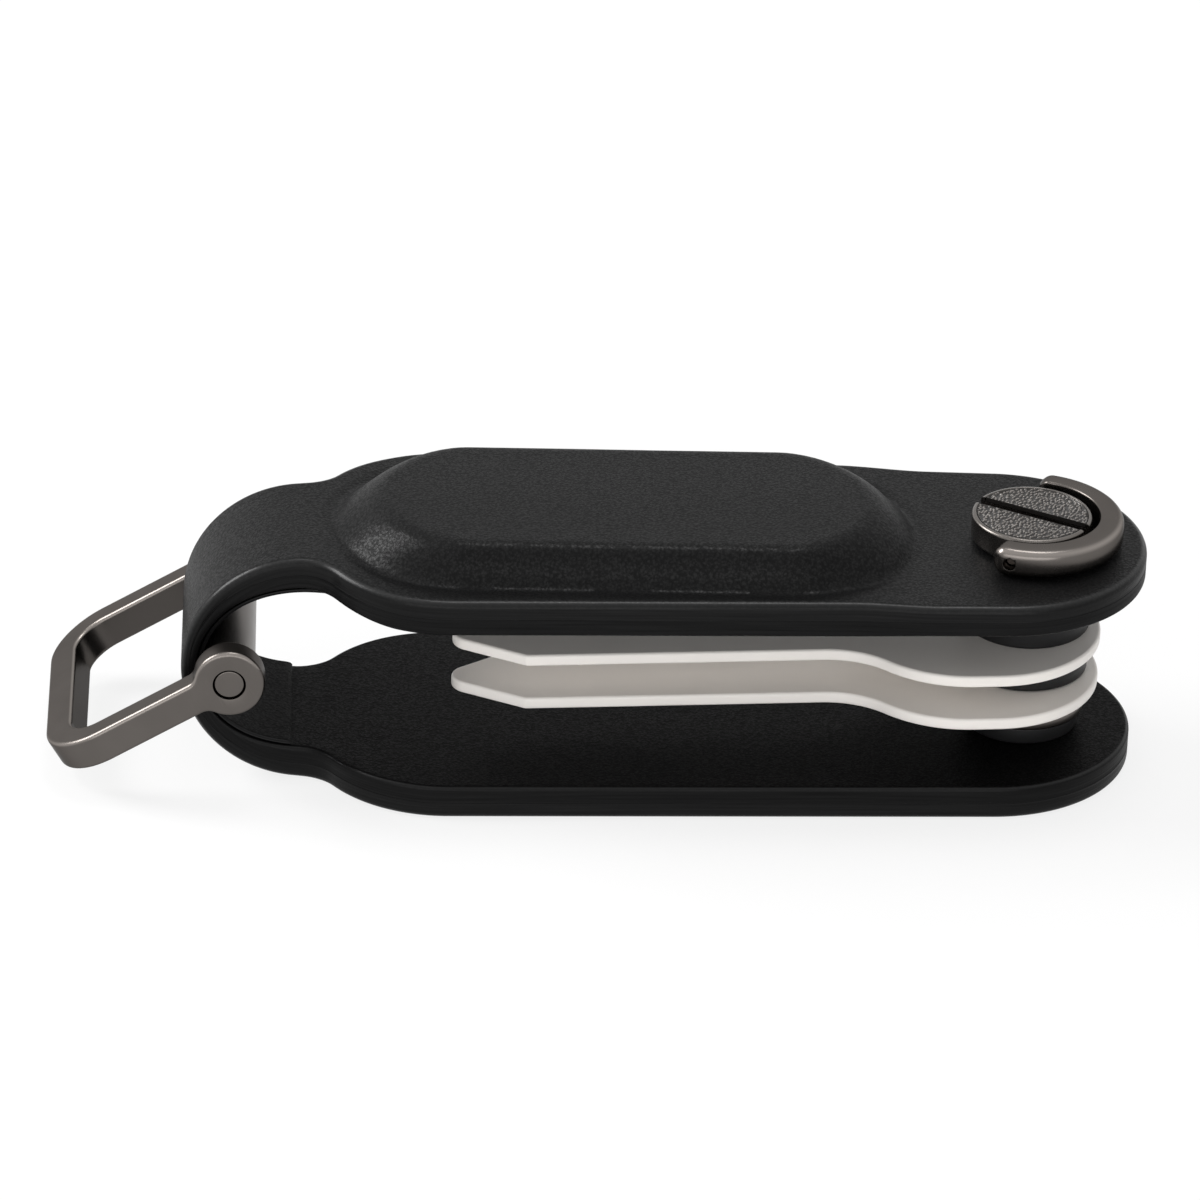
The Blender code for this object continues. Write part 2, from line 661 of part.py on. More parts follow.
def make_screw():
    """Head, inlays, washer and ring pins, on an axis at the leather's surface."""
    washer_axis = make_axis("screw_lift_axis", (0.0, 0.0, SCREW_TOP))
    washer_bottom = STACK_GAP
    washer_top = washer_bottom + HEAD_WASHER_THICKNESS
    washer = ring_profile(SHANK_RADIUS + BORE_GAP, HEAD_WASHER_RADIUS, washer_bottom, washer_top,
                          HEAD_WASHER_THICKNESS / 4.0)
    turned("head_washer", washer, BLACK_NYLON, washer_axis, closed=True)

    screw_axis = make_axis("screw_turn_axis", (0.0, 0.0, SCREW_TOP))
    bottom = washer_top + STACK_GAP
    top = bottom + HEAD_HEIGHT
    floor = top - INLAY_DEPTH
    recess = HEAD_RADIUS - HEAD_RIM
    tip = bottom - SHANK_LENGTH
    profile = [
        (0.0, tip), (SHANK_RADIUS - HEAD_EDGE, tip), (SHANK_RADIUS, tip + HEAD_EDGE),
        (SHANK_RADIUS, bottom), (HEAD_RADIUS - HEAD_EDGE, bottom),
        (HEAD_RADIUS, bottom + HEAD_EDGE), (HEAD_RADIUS, top - HEAD_EDGE),
        (HEAD_RADIUS - HEAD_EDGE, top), (recess, top), (recess, floor), (0.0, floor),
    ]
    screw = turned("screw", profile, BRIGHT_RIM, screw_axis)
    slot_turn = Matrix.Rotation(SLOT_ANGLE, 4, "Z")
    half_slot = SLOT_WIDTH / 2.0
    half_length = HEAD_RADIUS + CUT_OVERRUN
    slot_outline = [(-half_length, -half_slot), (half_length, -half_slot),
                    (half_length, half_slot), (-half_length, half_slot)]
    slot = prism("slot", slot_outline, top - SLOT_DEPTH, top + CUT_OVERRUN, 0.0, None, screw_axis)
    slot.matrix_local = slot_turn
    combine(screw, slot, "DIFFERENCE")

    inlay_radius = recess - INLAY_GAP
    chord = half_slot + INLAY_GAP
    half_angle = math.asin(chord / inlay_radius)
    for name, start in (("inlay_back", half_angle), ("inlay_front", math.pi + half_angle)):
        outline = arc((0.0, 0.0), inlay_radius, start, start + math.pi - 2.0 * half_angle, 2 * ARC_STEPS)
        inlay = prism(name, outline, floor + STACK_GAP, top - STACK_GAP, 0.0, INLAY_GRAIN, screw_axis)
        inlay.matrix_local = slot_turn
    return screw, screw_axis, bottom


def make_ring(screw, screw_axis, head_bottom):
    """The C-shaped lift ring, hinged on two pins in the head's side."""
    pivot = Vector((0.0, 0.0, SCREW_TOP + head_bottom + RING_AXIS_HEIGHT))
    # Local Y runs along the pivot axis and local X towards the bow
    turn = Matrix.Rotation(RING_AXIS_ANGLE - math.pi / 2.0, 3, "Z")
    ring_axis = make_axis("ring_axis", pivot, turn)
    half = RING_HEIGHT / 2.0
    rings = []
    for i in range(2 * ARC_STEPS + 1):
        angle = mix(-math.pi / 2.0, math.pi / 2.0, i / (2 * ARC_STEPS))
        thickness = mix(RING_END_THICKNESS, RING_BOW_THICKNESS, math.cos(angle))
        inner = RING_INNER_RADIUS
        outer = inner + thickness
        corner = min(RING_EDGE, thickness / 2.2)
        low_edge = RING_INNER_EDGE
        section = [(inner, low_edge - half), (inner, half - low_edge), (inner + low_edge, half)]
        section += arc((outer - corner, half - corner), corner, math.pi / 2.0, 0.0, EDGE_STEPS)
        section += arc((outer - corner, -half + corner), corner, 0.0, -math.pi / 2.0, EDGE_STEPS)
        section.append((inner + low_edge, -half))
        rings.append([(radius * math.cos(angle), radius * math.sin(angle), height)
                      for radius, height in section])
    ring = loft("lift_ring", rings, GUNMETAL, ring_axis)

    along_y = Matrix.Rotation(-math.pi / 2.0, 4, "X")
    outer_end = RING_INNER_RADIUS + RING_END_THICKNESS
    socket = HEAD_RADIUS - RING_PIN_SOCKET
    raise_pin = Matrix.Translation((0.0, 0.0, head_bottom + RING_AXIS_HEIGHT)) @ turn.to_4x4()
    for side in (-1, 1):
        label = "back" if side > 0 else "front"
        flip = Matrix.Rotation(0.0 if side > 0 else math.pi, 4, "Z") @ along_y
        low = RING_INNER_RADIUS + RING_BOSS_PROUD
        high = outer_end + RING_BOSS_PROUD
        width = half + RING_BOSS_PROUD
        boss_profile = [(0.0, low), (width - WASHER_EDGE, low), (width, low + WASHER_EDGE),
                        (width, high - WASHER_EDGE), (width - WASHER_EDGE, high), (0.0, high)]
        boss = turned("ring_boss_" + label, boss_profile, None, ring_axis, steps=BOSS_STEPS)
        boss.matrix_local = flip
        combine(ring, boss, "UNION")
        bore = rod("ring_bore_" + label, RING_PIN_RADIUS + RING_PIN_GAP, socket - RING_PIN_GAP,
                   outer_end + CUT_OVERRUN, ring_axis, steps=PIN_STEPS)
        bore.matrix_local = flip
        combine(ring, bore, "DIFFERENCE")
        combine(screw, bore, "DIFFERENCE")
        tip = outer_end - RING_PIN_RECESS
        pin_profile = [(0.0, socket), (RING_PIN_RADIUS, socket), (RING_PIN_RADIUS, tip), (0.0, tip)]
        pin = turned("ring_pin_" + label, pin_profile, GUNMETAL, screw_axis, steps=PIN_STEPS)
        pin.matrix_local = raise_pin @ flip


# Shackle

def shackle_outline():
    """The loop's outline seen from above, open towards the eyes."""
    inner = SHACKLE_GAP_WIDTH / 2.0
    outer = inner + SHACKLE_ARM_THICKNESS
    far = -SHACKLE_REACH
    near = far + SHACKLE_BAR_DEPTH
    out_c = SHACKLE_OUTER_CORNER
    in_c = SHACKLE_INNER_CORNER
    half = [(0.0, outer)]
    half += arc((far + out_c, outer - out_c), out_c, math.pi / 2.0, math.pi, 5)
    inside = arc((near + in_c, inner - in_c), in_c, math.pi, math.pi / 2.0, 4)
    inside.append((0.0, inner))
    outside = half + [(x, -y) for x, y in reversed(half)]
    return outside + [(x, -y) for x, y in reversed(inside)] + inside


def make_shackle():
    """Loop, eyes, pin and sleeve. The loop hangs from the pin, which lies in the fold."""
    place = Vector((PIN_X, 0.0, PIN_Z))
    axis = make_axis("shackle_axis", place, Matrix.Rotation(SHACKLE_TILT, 3, "Y"))
    inner = SHACKLE_GAP_WIDTH / 2.0
    outer = inner + SHACKLE_ARM_THICKNESS
    half = SHACKLE_BAR_HEIGHT / 2.0
    shackle = prism("shackle", shackle_outline(), SHACKLE_BAR_LIFT - half, SHACKLE_BAR_LIFT + half,
                    SHACKLE_EDGE, GUNMETAL, axis)
    hole = rod("pin_hole", PIN_RADIUS + PIN_HOLE_GAP, -outer - CUT_OVERRUN, outer + CUT_OVERRUN, axis)
    along_y = Matrix.Rotation(math.pi / 2.0, 4, "X")
    hole.matrix_local = along_y
    for side in (-1, 1):
        low, high = sorted((side * inner, side * outer))
        profile = [(0.0, low), (EYE_RADIUS - EYE_EDGE, low), (EYE_RADIUS, low + EYE_EDGE),
                   (EYE_RADIUS, high - EYE_EDGE), (EYE_RADIUS - EYE_EDGE, high), (0.0, high)]
        eye = turned("eye_front" if side > 0 else "eye_back", profile, None, axis)
        eye.matrix_local = along_y
        combine(shackle, eye, "UNION")
    combine(shackle, hole, "DIFFERENCE")

    end = outer - PIN_RECESS
    pin_profile = [(0.0, -end), (PIN_RADIUS - PIN_EDGE, -end), (PIN_RADIUS, -end + PIN_EDGE),
                   (PIN_RADIUS, end - PIN_EDGE), (PIN_RADIUS - PIN_EDGE, end), (0.0, end)]
    pin = turned("pivot_pin", pin_profile, GUNMETAL, axis)
    pin.matrix_local = along_y
    sleeve_end = inner - SLEEVE_END_GAP
    sleeve_profile = ring_profile(PIN_RADIUS + SLEEVE_BORE_GAP, SLEEVE_RADIUS, -sleeve_end,
                                  sleeve_end, PIN_EDGE)
    sleeve = turned("pivot_sleeve", sleeve_profile, GUNMETAL, closed=True)
    sleeve.matrix_world = Matrix.Translation(place) @ along_y


def main():
    for obj in list(bpy.data.objects):
        bpy.data.objects.remove(obj)
    make_strap()
    make_fold_liner()
    make_module()
    make_post()
    make_stack()
    make_key("lower_key")
    make_key("upper_key")
    screw, screw_axis, head_bottom = make_screw()
    make_ring(screw, screw_axis, head_bottom)
    make_shackle()
    bpy.context.view_layer.update()


if __name__ == "__main__":
    main()
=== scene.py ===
"""Looks of a folded leather key organizer, built around its fixed frame.

Each piece has its own operator: the strap, the finder module in its pocket, the post and its
stack, the key blanks, the coin screw, the lift ring and the shackle, and one sets the stage.
"""
from math import (acos, atan2, ceil, copysign, cos, dist, exp, hypot, pi, radians, remainder, sin,
                  sqrt, tan)

import bmesh
import bpy
from bpy.props import FloatProperty, FloatVectorProperty, IntProperty, PointerProperty
from mathutils import Matrix, Vector


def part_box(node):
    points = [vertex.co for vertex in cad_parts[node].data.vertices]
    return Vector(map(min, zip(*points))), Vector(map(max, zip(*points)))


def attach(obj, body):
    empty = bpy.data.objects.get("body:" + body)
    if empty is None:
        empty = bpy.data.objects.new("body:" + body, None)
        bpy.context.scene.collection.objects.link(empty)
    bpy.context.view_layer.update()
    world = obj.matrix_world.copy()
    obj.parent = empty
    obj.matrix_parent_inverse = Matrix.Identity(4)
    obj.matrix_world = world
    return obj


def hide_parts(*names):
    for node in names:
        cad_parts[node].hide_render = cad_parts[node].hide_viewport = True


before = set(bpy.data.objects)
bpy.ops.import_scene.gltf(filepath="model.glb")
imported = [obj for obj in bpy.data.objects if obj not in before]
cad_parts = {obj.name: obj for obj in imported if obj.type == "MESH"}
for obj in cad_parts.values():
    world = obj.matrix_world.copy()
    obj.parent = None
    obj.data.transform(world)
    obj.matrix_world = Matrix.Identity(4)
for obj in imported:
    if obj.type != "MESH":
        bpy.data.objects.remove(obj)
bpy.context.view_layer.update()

bl_info = {
    "name": "Leather Key Organizer",
    "version": (1, 0, 0),
    "blender": (4, 5, 0),
    "location": "View3D > Sidebar > Organizer",
    "description": "Builds a folded leather key organizer with its screw, keys and shackle",
    "category": "Add Mesh",
}

MM = 0.001

# Strap: the outline of a leg
END_RADIUS = 14.2 * MM
LOWER_END_X = 10.55 * MM
UPPER_END_X = 11.1 * MM
BODY_HALF_WIDTH = 15.67 * MM
SHOULDER_RADIUS = 13.0 * MM
NECK_FILLET = 4.5 * MM
NECK_HALF_WIDTH = 8.25 * MM
NECK_RUN_IN = 0.9 * MM
FOLD_CENTRE_X = -68.95 * MM

# Strap: its thickness and the heights of its upper leg
LOWER_THICKNESS = 3.4 * MM
FOLD_THICKNESS = 1.5 * MM
NECK_THICKNESS = 3.1 * MM
MIDDLE_THICKNESS = 3.55 * MM
SCREW_SEAT_THICKNESS = 3.1 * MM
STACK_GAP = 0.05 * MM
SCREW_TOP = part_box("top_washer")[1].z + STACK_GAP + SCREW_SEAT_THICKNESS
MIDDLE_TOP = SCREW_TOP + 0.4 * MM
FOLD_TOP = SCREW_TOP + 0.75 * MM
FOLD_RADIUS = FOLD_TOP / 2.0
FOLD_START = -pi / 2.0
FOLD_END = -pi * 1.5
FOLD_SLOPE_END_X = -60.0 * MM
DIP_START_X = -18.0 * MM
DIP_END_X = -9.0 * MM
SEAM_GAP = 0.01 * MM
SEAM_ROUND = 0.03 * MM
SEAM_STEPS = 6
OUTER_POINTS = 42
LINING_POINTS = 14
LINING_COARSENESS = 1.5

# Strap: the raised oblong, its pocket and the crease round it
BULGE_CENTRE_X = -38.65 * MM
BULGE_LENGTH = 54.4 * MM
BULGE_WIDTH = 25.0 * MM
BULGE_SHOULDER = 3.6 * MM
BULGE_END_SHOULDER = 4.9 * MM
BULGE_END_SPREAD = 0.4 * MM
BULGE_HEIGHT = 3.45 * MM
BULGE_CROWN = 0.1 * MM
CROWN_START = 0.8
PILLOW_POWER = 1.8
SLANT_POWER = 2.2
SLANT_SHARE = 0.6
CREASE_DEPTH = 0.1 * MM
CREASE_PLACE = 0.5 * MM
CREASE_WIDTH = 0.55 * MM
PRESSED_SHARE = 0.4
POCKET_INSETS = ((2.2, -2.7), (2.2, 0.15), (2.8, 1.1), (3.6, 1.8), (4.4, 2.05))
POCKET_CLEARANCE = 0.08 * MM

# Liner inside the fold
LINER_OUTER_DEPTH = 0.12 * MM
LINER_THICKNESS = 0.4 * MM
LINER_HALF_WIDTH = 7.9 * MM
LINER_SKIVE = 1.2 * MM
LINER_LOWER_ANGLE = radians(-98)
LINER_UPPER_REACH = 3.4 * MM
LINER_END_SHARE = 0.25
LINER_EDGE_SHARE = 0.45
LINER_SPACING = 0.3 * MM
LINER_LEG_STEPS = 11

# Holes for the post
POST_HOLE_RADIUS = 3.25 * MM
BASE_SINK_RADIUS = 5.2 * MM
BASE_SINK_DEPTH = 1.25 * MM

# Key blanks
KEY_HEAD_RADIUS = 11.05 * MM
KEY_HEAD_X = -3.9 * MM
KEY_HEAD_SIDE = 2.4 * MM
KEY_BLADE_WIDTH = 10.15 * MM
KEY_NECK_FILLET = 7.8 * MM
KEY_REACH = 55.1 * MM
KEY_TIP_LENGTH = 6.6 * MM
KEY_TIP_CORNER = 0.8 * MM
KEY_NOSE_RADIUS = 1.9 * MM
KEY_NOSE_ANGLE = radians(64)
KEY_HOLE_RADIUS = 3.2 * MM
KEY_TURN = radians(4.3)

# Coin screw
HEAD_RADIUS = 5.76 * MM
HEAD_RIM = 0.42 * MM
HEAD_TOP_ROUND = 0.32 * MM
HEAD_BOTTOM_ROUND = 0.3 * MM
HEAD_RECESS_ROUND = 0.06 * MM
HEAD_INLAY_DEPTH = 0.45 * MM
SLOT_WIDTH = 1.3 * MM
SLOT_DEPTH = 1.35 * MM
SLOT_ANGLE = radians(-29.2)
INLAY_GAP = 0.06 * MM
INLAY_TIP_ANGLE = 0.02
INLAY_FADE_START = -0.02 * MM
INLAY_FADE_END = 0.12 * MM
INLAY_COLUMNS = 190
INLAY_ROWS = 100
PIN_SOCKET = 1.6 * MM
HEAD_BEVEL = 0.05 * MM
HEAD_WASHER_BORE = 2.15 * MM
HEAD_WASHER_RADIUS = 5.3 * MM
HEAD_WASHER_EDGE = 0.06 * MM
SHANK_RADIUS = 2.0 * MM
SHANK_TIP_ROUND = 0.2 * MM
SHANK_ROOT_ROUND = 0.1 * MM
THREAD_PITCH = 0.7 * MM
THREAD_START = 0.35 * MM
THREAD_SHORTFALL = 1.2 * MM

# Lift ring, in its own frame: Y along the pivots, X towards the bow
RING_TURN = radians(71.5 - 90.0)
RING_AXIS_HEIGHT = 24.28 * MM
RING_PLACE = (Matrix.Translation((0.0, 0.0, RING_AXIS_HEIGHT))
              @ Matrix.Rotation(RING_TURN, 4, "Z"))
RING_INNER_RADIUS = 6.45 * MM
RING_BOW_THICKNESS = 2.3 * MM
RING_END_THICKNESS = 2.2 * MM
RING_HALF_HEIGHT = 1.45 * MM
RING_SHOULDER = 0.85 * MM
RING_END_REACH = 1.25 * MM
RING_FRONT_RUN = 0.5 * MM
RING_BORE_RADIUS = 0.62 * MM
RING_STEPS = 90
RING_CORNER_STEPS = 6
RING_END_STEPS = 12
RING_CORNER_SHARE = 0.48
RING_INNER_SHARE = 0.15
RING_INNER_EDGE = 0.2 * MM
RING_LEAST_TAPER = 0.0004
RING_PLAY = 0.02 * MM

# Shackle, in its own frame: Y along the pin, the bar towards -X
PIN_PLACE = (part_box("pivot_sleeve")[0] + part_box("pivot_sleeve")[1]) / 2.0
SHACKLE_TILT = radians(-31.3)
SHACKLE_INNER = 10.2 * MM
SHACKLE_OUTER = 12.8 * MM
SHACKLE_REACH = 19.38 * MM
SHACKLE_BAR_DEPTH = 2.85 * MM
SHACKLE_BAR_HEIGHT = 3.2 * MM
SHACKLE_BAR_LIFT = 0.2 * MM
SHACKLE_OUTER_CORNER = 5.8 * MM
SHACKLE_INNER_CORNER = 3.0 * MM
EYE_RADIUS = 3.37 * MM
EYE_FILLET = 1.3 * MM
EYE_STEPS = 30
EYE_FILLET_STEPS = 8
BEND_STEPS = 16
PIN_RADIUS = 1.4 * MM
PIN_EDGE = 0.12 * MM
SLEEVE_GAP = 0.15 * MM
SLEEVE_EDGE = 0.15 * MM
PIN_HOLE_GAP = 0.17 * MM

MERGE_DISTANCE = 0.0005 * MM
SHARP_ANGLE = radians(35)
CUT_OVERRUN = 1.0 * MM
BORE_BEVEL = 0.06 * MM
GRAZING_TINT = 0.48


# Sizes and colours that a user would change

def number_setting(name, description, default, **options):
    return FloatProperty(name=name, description=description, default=default, **options)


def length_setting(name, description, default):
    return number_setting(name, description, default, unit="LENGTH", min=0.0, precision=5)


def angle_setting(name, description, default):
    return number_setting(name, description, default, subtype="ANGLE")


def power_setting(name, description, default):
    return number_setting(name, description, default, unit="POWER", min=0.0)


def colour_setting(name, description, default):
    return FloatVectorProperty(name=name, description=description, default=default,
                               subtype="COLOR", size=3, min=0.0, max=1.0)


class StrapSettings(bpy.types.PropertyGroup):
    colour: colour_setting("Leather", "Colour of the dyed leather", (0.0036, 0.0036, 0.0037))
    # The lining and the liner are darker than the outer leather: their own black with painted shade
    # for the hollow between the legs and the inside of the fold.
    lining_colour_and_shade: colour_setting("Lining", "Colour of the inner ply", (0.0018, 0.0018, 0.0019))
    edge_colour: colour_setting("Edge", "Colour of the cut edges", (0.0046, 0.0046, 0.0047))
    liner_colour_and_shade: colour_setting("Liner", "Colour of the thin liner", (0.0020, 0.0020, 0.0021))
    edge_round: length_setting("Edge rounding", "Radius along the outer edges", 0.75 * MM)
    inner_round: length_setting("Inner rounding", "Radius along the inner edges", 0.45 * MM)
    grain_size: length_setting("Grain size", "Distance between the pebbles", 0.30 * MM)
    grain_depth: length_setting("Grain depth", "Height of the leather's pebbles", 0.09 * MM)
    row_spacing: length_setting("Row spacing", "Distance between rows of the mesh", 0.42 * MM)


class MetalSettings(bpy.types.PropertyGroup):
    gunmetal: colour_setting("Gunmetal", "Colour of the satin plating", (0.118, 0.107, 0.099))
    bright_steel: colour_setting("Screw steel", "Colour of the head", (0.135, 0.124, 0.115))
    inlay: colour_setting("Inlay", "Colour of the pebbled inlays", (0.052, 0.047, 0.043))
    edge_round: length_setting("Shackle rounding", "Radius along its edges", 0.42 * MM)
    pebble_size: length_setting("Pebble size", "Distance between pebbles", 0.38 * MM)
    pebble_height: length_setting("Pebble height", "Height of the pebbles", 0.16 * MM)
    thread_depth: length_setting("Thread depth", "Height of the screw's thread", 0.25 * MM)
    thread_steps: IntProperty(name="Thread steps", description="Points in one turn of the thread",
                              default=28, min=8, max=96)


class PlasticSettings(bpy.types.PropertyGroup):
    key: colour_setting("Key blanks", "Colour of the moulded blanks", (0.87, 0.832, 0.79))
    washer: colour_setting("Washers", "Colour of the nylon", (0.0075, 0.0075, 0.008))
    module: colour_setting("Module", "Colour of the finder's housing", (0.10, 0.10, 0.11))
    board: colour_setting("Board", "Colour of the solder resist", (0.03, 0.16, 0.07))
    cell: colour_setting("Cell", "Colour of the cell's foil", (0.55, 0.56, 0.58))
    key_round: length_setting("Key rounding", "Radius along the blanks' edges", 0.3 * MM)


class StageSettings(bpy.types.PropertyGroup):
    distance: number_setting("Distance", "From the camera to what it looks at", 0.796,
                             unit="LENGTH", min=0.1)
    elevation: angle_setting("Elevation", "Height of the camera as an angle", radians(28.0))
    azimuth: angle_setting("Azimuth", "Turn of the camera round the object", radians(2.6))
    roll: angle_setting("Roll", "Turn of the camera about its view", 0.0377)
    lens: number_setting("Lens", "Focal length in millimetres", 250.0)
    fill: number_setting("Fill", "Light from all round", 0.45, min=0.0)
    key_light: power_setting("Key", "Power of the overhead lamp", 1.6)
    side_light: power_setting("Side", "Power of the lamp at the left", 6.2)
    front_light: power_setting("Front", "Power of the broad lamp at the front", 3.7)
    floor_lift: number_setting("Floor lift", "Share of plain white in the floor", 0.81,
                               min=0.0, max=1.0)


class OrganizerSettings(bpy.types.PropertyGroup):
    strap: PointerProperty(type=StrapSettings)
    metal: PointerProperty(type=MetalSettings)
    plastic: PointerProperty(type=PlasticSettings)
    stage: PointerProperty(type=StageSettings)


# Nodes

class Value:
    """A number that a node gives. Arithmetic on it adds Math nodes."""

    def __init__(self, nodes, socket):
        self.nodes = nodes
        self.socket = socket

    def __add__(self, other):
        return self.nodes.number("ADD", self, other)

    __radd__ = __add__

    def __sub__(self, other):
        return self.nodes.number("SUBTRACT", self, other)

    def __rsub__(self, other):
        return self.nodes.number("SUBTRACT", other, self)

    def __mul__(self, other):
        return self.nodes.number("MULTIPLY", self, other)

    __rmul__ = __mul__

    def step(self, low, high, bottom=0.0, top=1.0):
        """A smooth step from bottom at low to top at high."""
        return Value(self.nodes, self.nodes.result(
            "ShaderNodeMapRange", {0: self, 1: low, 2: high, 3: bottom, 4: top},
            interpolation_type="SMOOTHSTEP"))


class Nodes:
    """Adds nodes to a tree and feeds their inputs."""

    def __init__(self, tree):
        self.tree = tree

    def node(self, kind, values=None, **settings):
        """Add a node: its settings first, then each input's number, colour or link."""
        made = self.tree.nodes.new(kind)
        for name, setting in settings.items():
            setattr(made, name, setting)
        for name, value in (values or {}).items():
            self.feed(made.inputs[name], value)
        return made

    def result(self, kind, values=None, **settings):
        """Add a node and return its first output."""
        return self.node(kind, values, **settings).outputs[0]

    def feed(self, socket, value):
        source = value.socket if isinstance(value, Value) else value
        if isinstance(source, bpy.types.NodeSocket):
            self.tree.links.new(source, socket)
        else:
            socket.default_value = source

    def number(self, operation, *values):
        values = dict(enumerate(values))
        return Value(self, self.result("ShaderNodeMath", values, operation=operation))

    def vector(self, x=0.0, y=0.0, z=0.0):
        return self.result("ShaderNodeCombineXYZ", {0: x, 1: y, 2: z})

    def mix_shaders(self, output, factor, first, second):
        """End the tree in a mix of two shaders."""
        mixed = self.result("ShaderNodeMixShader", {0: factor, 1: first, 2: second})
        self.node(output, {"Surface": mixed})


class SizedTree(Nodes):
    """A Geometry Nodes tree with named inputs, which ends in realized geometry of one material."""

    def __init__(self, name, sizes):
        super().__init__(bpy.data.node_groups.new(name, "GeometryNodeTree"))
        face = self.tree.interface
        face.new_socket("Geometry", in_out="INPUT", socket_type="NodeSocketGeometry")
        self.sizes = {}
        for label, value in sizes.items():
            kind = "NodeSocketInt" if isinstance(value, int) else "NodeSocketFloat"
            socket = face.new_socket(label, in_out="INPUT", socket_type=kind)
            self.sizes[socket.identifier] = value
        face.new_socket("Geometry", in_out="OUTPUT", socket_type="NodeSocketGeometry")
        self.start = self.node("NodeGroupInput")

    def size(self, label):
        return Value(self, self.start.outputs[label])

    def end(self, geometry, material):
        real = self.result("GeometryNodeRealizeInstances", {"Geometry": geometry})
        painted = self.result("GeometryNodeSetMaterial", {"Geometry": real, "Material": material})
        self.node("NodeGroupOutput", {"Geometry": painted})
        return self

    def grow(self, obj):
        """Run the tree on an object and keep the result as its plain mesh."""
        modifier = obj.modifiers.new(self.tree.name, "NODES")
        modifier.node_group = self.tree
        for identifier, value in self.sizes.items():
            modifier[identifier] = value
        bake(obj)


# Finishes

def shaded(colour, factor):
    """The colour with its channels multiplied, and no transparency."""
    return (*(channel * factor for channel in colour), 1.0)


class Finish(Nodes):
    """A material of one Principled shader, with everything that varies over it in nodes."""

    def __init__(self, name, metallic=0.0, specular=0.5, **constants):
        self.material = bpy.data.materials.new(name)
        self.material.use_nodes = True
        super().__init__(self.material.node_tree)
        self.shader = self.tree.nodes["Principled BSDF"]
        self.put("Metallic", metallic)
        self.put("Specular IOR Level", specular)
        for socket, value in constants.items():
            self.put(socket.replace("_", " "), value)
        self.place = self.node("ShaderNodeTexCoord").outputs["Object"]

    def put(self, socket, value):
        """Set or link one of the shader's own sockets."""
        self.feed(self.shader.inputs[socket], value)

    def end(self, colour, roughness, height, distance):
        """Link the colour, the roughness and a bump, and give back the material."""
        self.put("Base Color", colour)
        self.put("Roughness", roughness)
        self.put("Normal", self.result("ShaderNodeBump", {"Height": height, "Distance": distance}))
        return self.material

    def noise(self, size, detail=2.0, place=None, distortion=0.0):
        """Noise from 0 to 1 whose features are about size metres across."""
        made = self.node("ShaderNodeTexNoise", {
            "Vector": place or self.place, "Scale": 1.0 / size, "Detail": detail,
            "Distortion": distortion})
        return Value(self, made.outputs["Fac"])

    def cells(self, size, feature="F1", place=None):
        """Distance in a pattern of cells that are about size metres across."""
        made = self.node("ShaderNodeTexVoronoi", {
            "Vector": place or self.place, "Scale": 1.0 / size}, feature=feature)
        return Value(self, made.outputs["Distance"])

    def attribute(self, name):
        return Value(self, self.node("ShaderNodeAttribute", attribute_name=name).outputs["Fac"])

    def blend(self, factor, first, second):
        """A colour between two colours."""
        made = self.node("ShaderNodeMix", {0: factor, 6: first, 7: second}, data_type="RGBA")
        return made.outputs[2]

    def tint(self, colour, variation, amount):
        """The colour made darker and lighter by a share, as a value from 0 to 1 varies."""
        return self.blend(variation, shaded(colour, 1.0 - amount), shaded(colour, 1.0 + amount))


def leather_finish(name, colour, settings, roughness=0.5, specular=0.05, shine=0.27):
    """Fine pebbly grain on the faces, and burnished cut edges with faint lines along the plies.

    The dye's shine lies on the crests of the pebbles and leaves the hollows dull.
    """
    finish = Finish(name, specular=specular, Coat_Roughness=0.3)
    size = settings.grain_size
    warp = finish.node("ShaderNodeTexNoise", {"Vector": finish.place, "Scale": 0.4 / size})
    bent = finish.result("ShaderNodeVectorMath", {
        0: warp.outputs["Color"], 1: (1.3 * size,) * 3, 2: finish.place}, operation="MULTIPLY_ADD")
    pebbles = finish.cells(size, "F1", bent)
    wrinkles = finish.noise(size * 0.9, 3.0, distortion=1.6)
    fine = finish.noise(size * 0.3, 2.0)
    grain = (1.0 - pebbles) * 0.55 + wrinkles * 0.9 + fine * 0.25
    broad = finish.noise(9.0 * MM, 3.0)
    edge = finish.attribute("edge")
    face = 1.0 - edge
    lines_place = finish.vector(finish.attribute("along") * 90.0, finish.attribute("ply") * 5200.0)
    lines = finish.noise(1.0, 2.0, lines_place)
    crest = grain.step(0.70, 1.12, 0.22, 1.0)
    rim = edge.step(0.05, 0.35) * (1.0 - edge.step(0.35, 0.8))
    finish.put("Coat Weight", crest * face * shine + rim * 0.4 + (lines * 0.2 + 0.04) * edge)
    faces = finish.tint(colour, broad * 0.6 + grain * 0.3, 0.35)
    edges = finish.tint(settings.edge_colour, lines, 0.5)
    varied = roughness + (broad - 0.5) * 0.10 + (wrinkles - 0.5) * 0.12 - edge * 0.06
    height = grain * (face * 0.8 + 0.2) + lines * edge * 0.55
    return finish.end(finish.blend(edge, faces, edges), varied, height, settings.grain_depth)


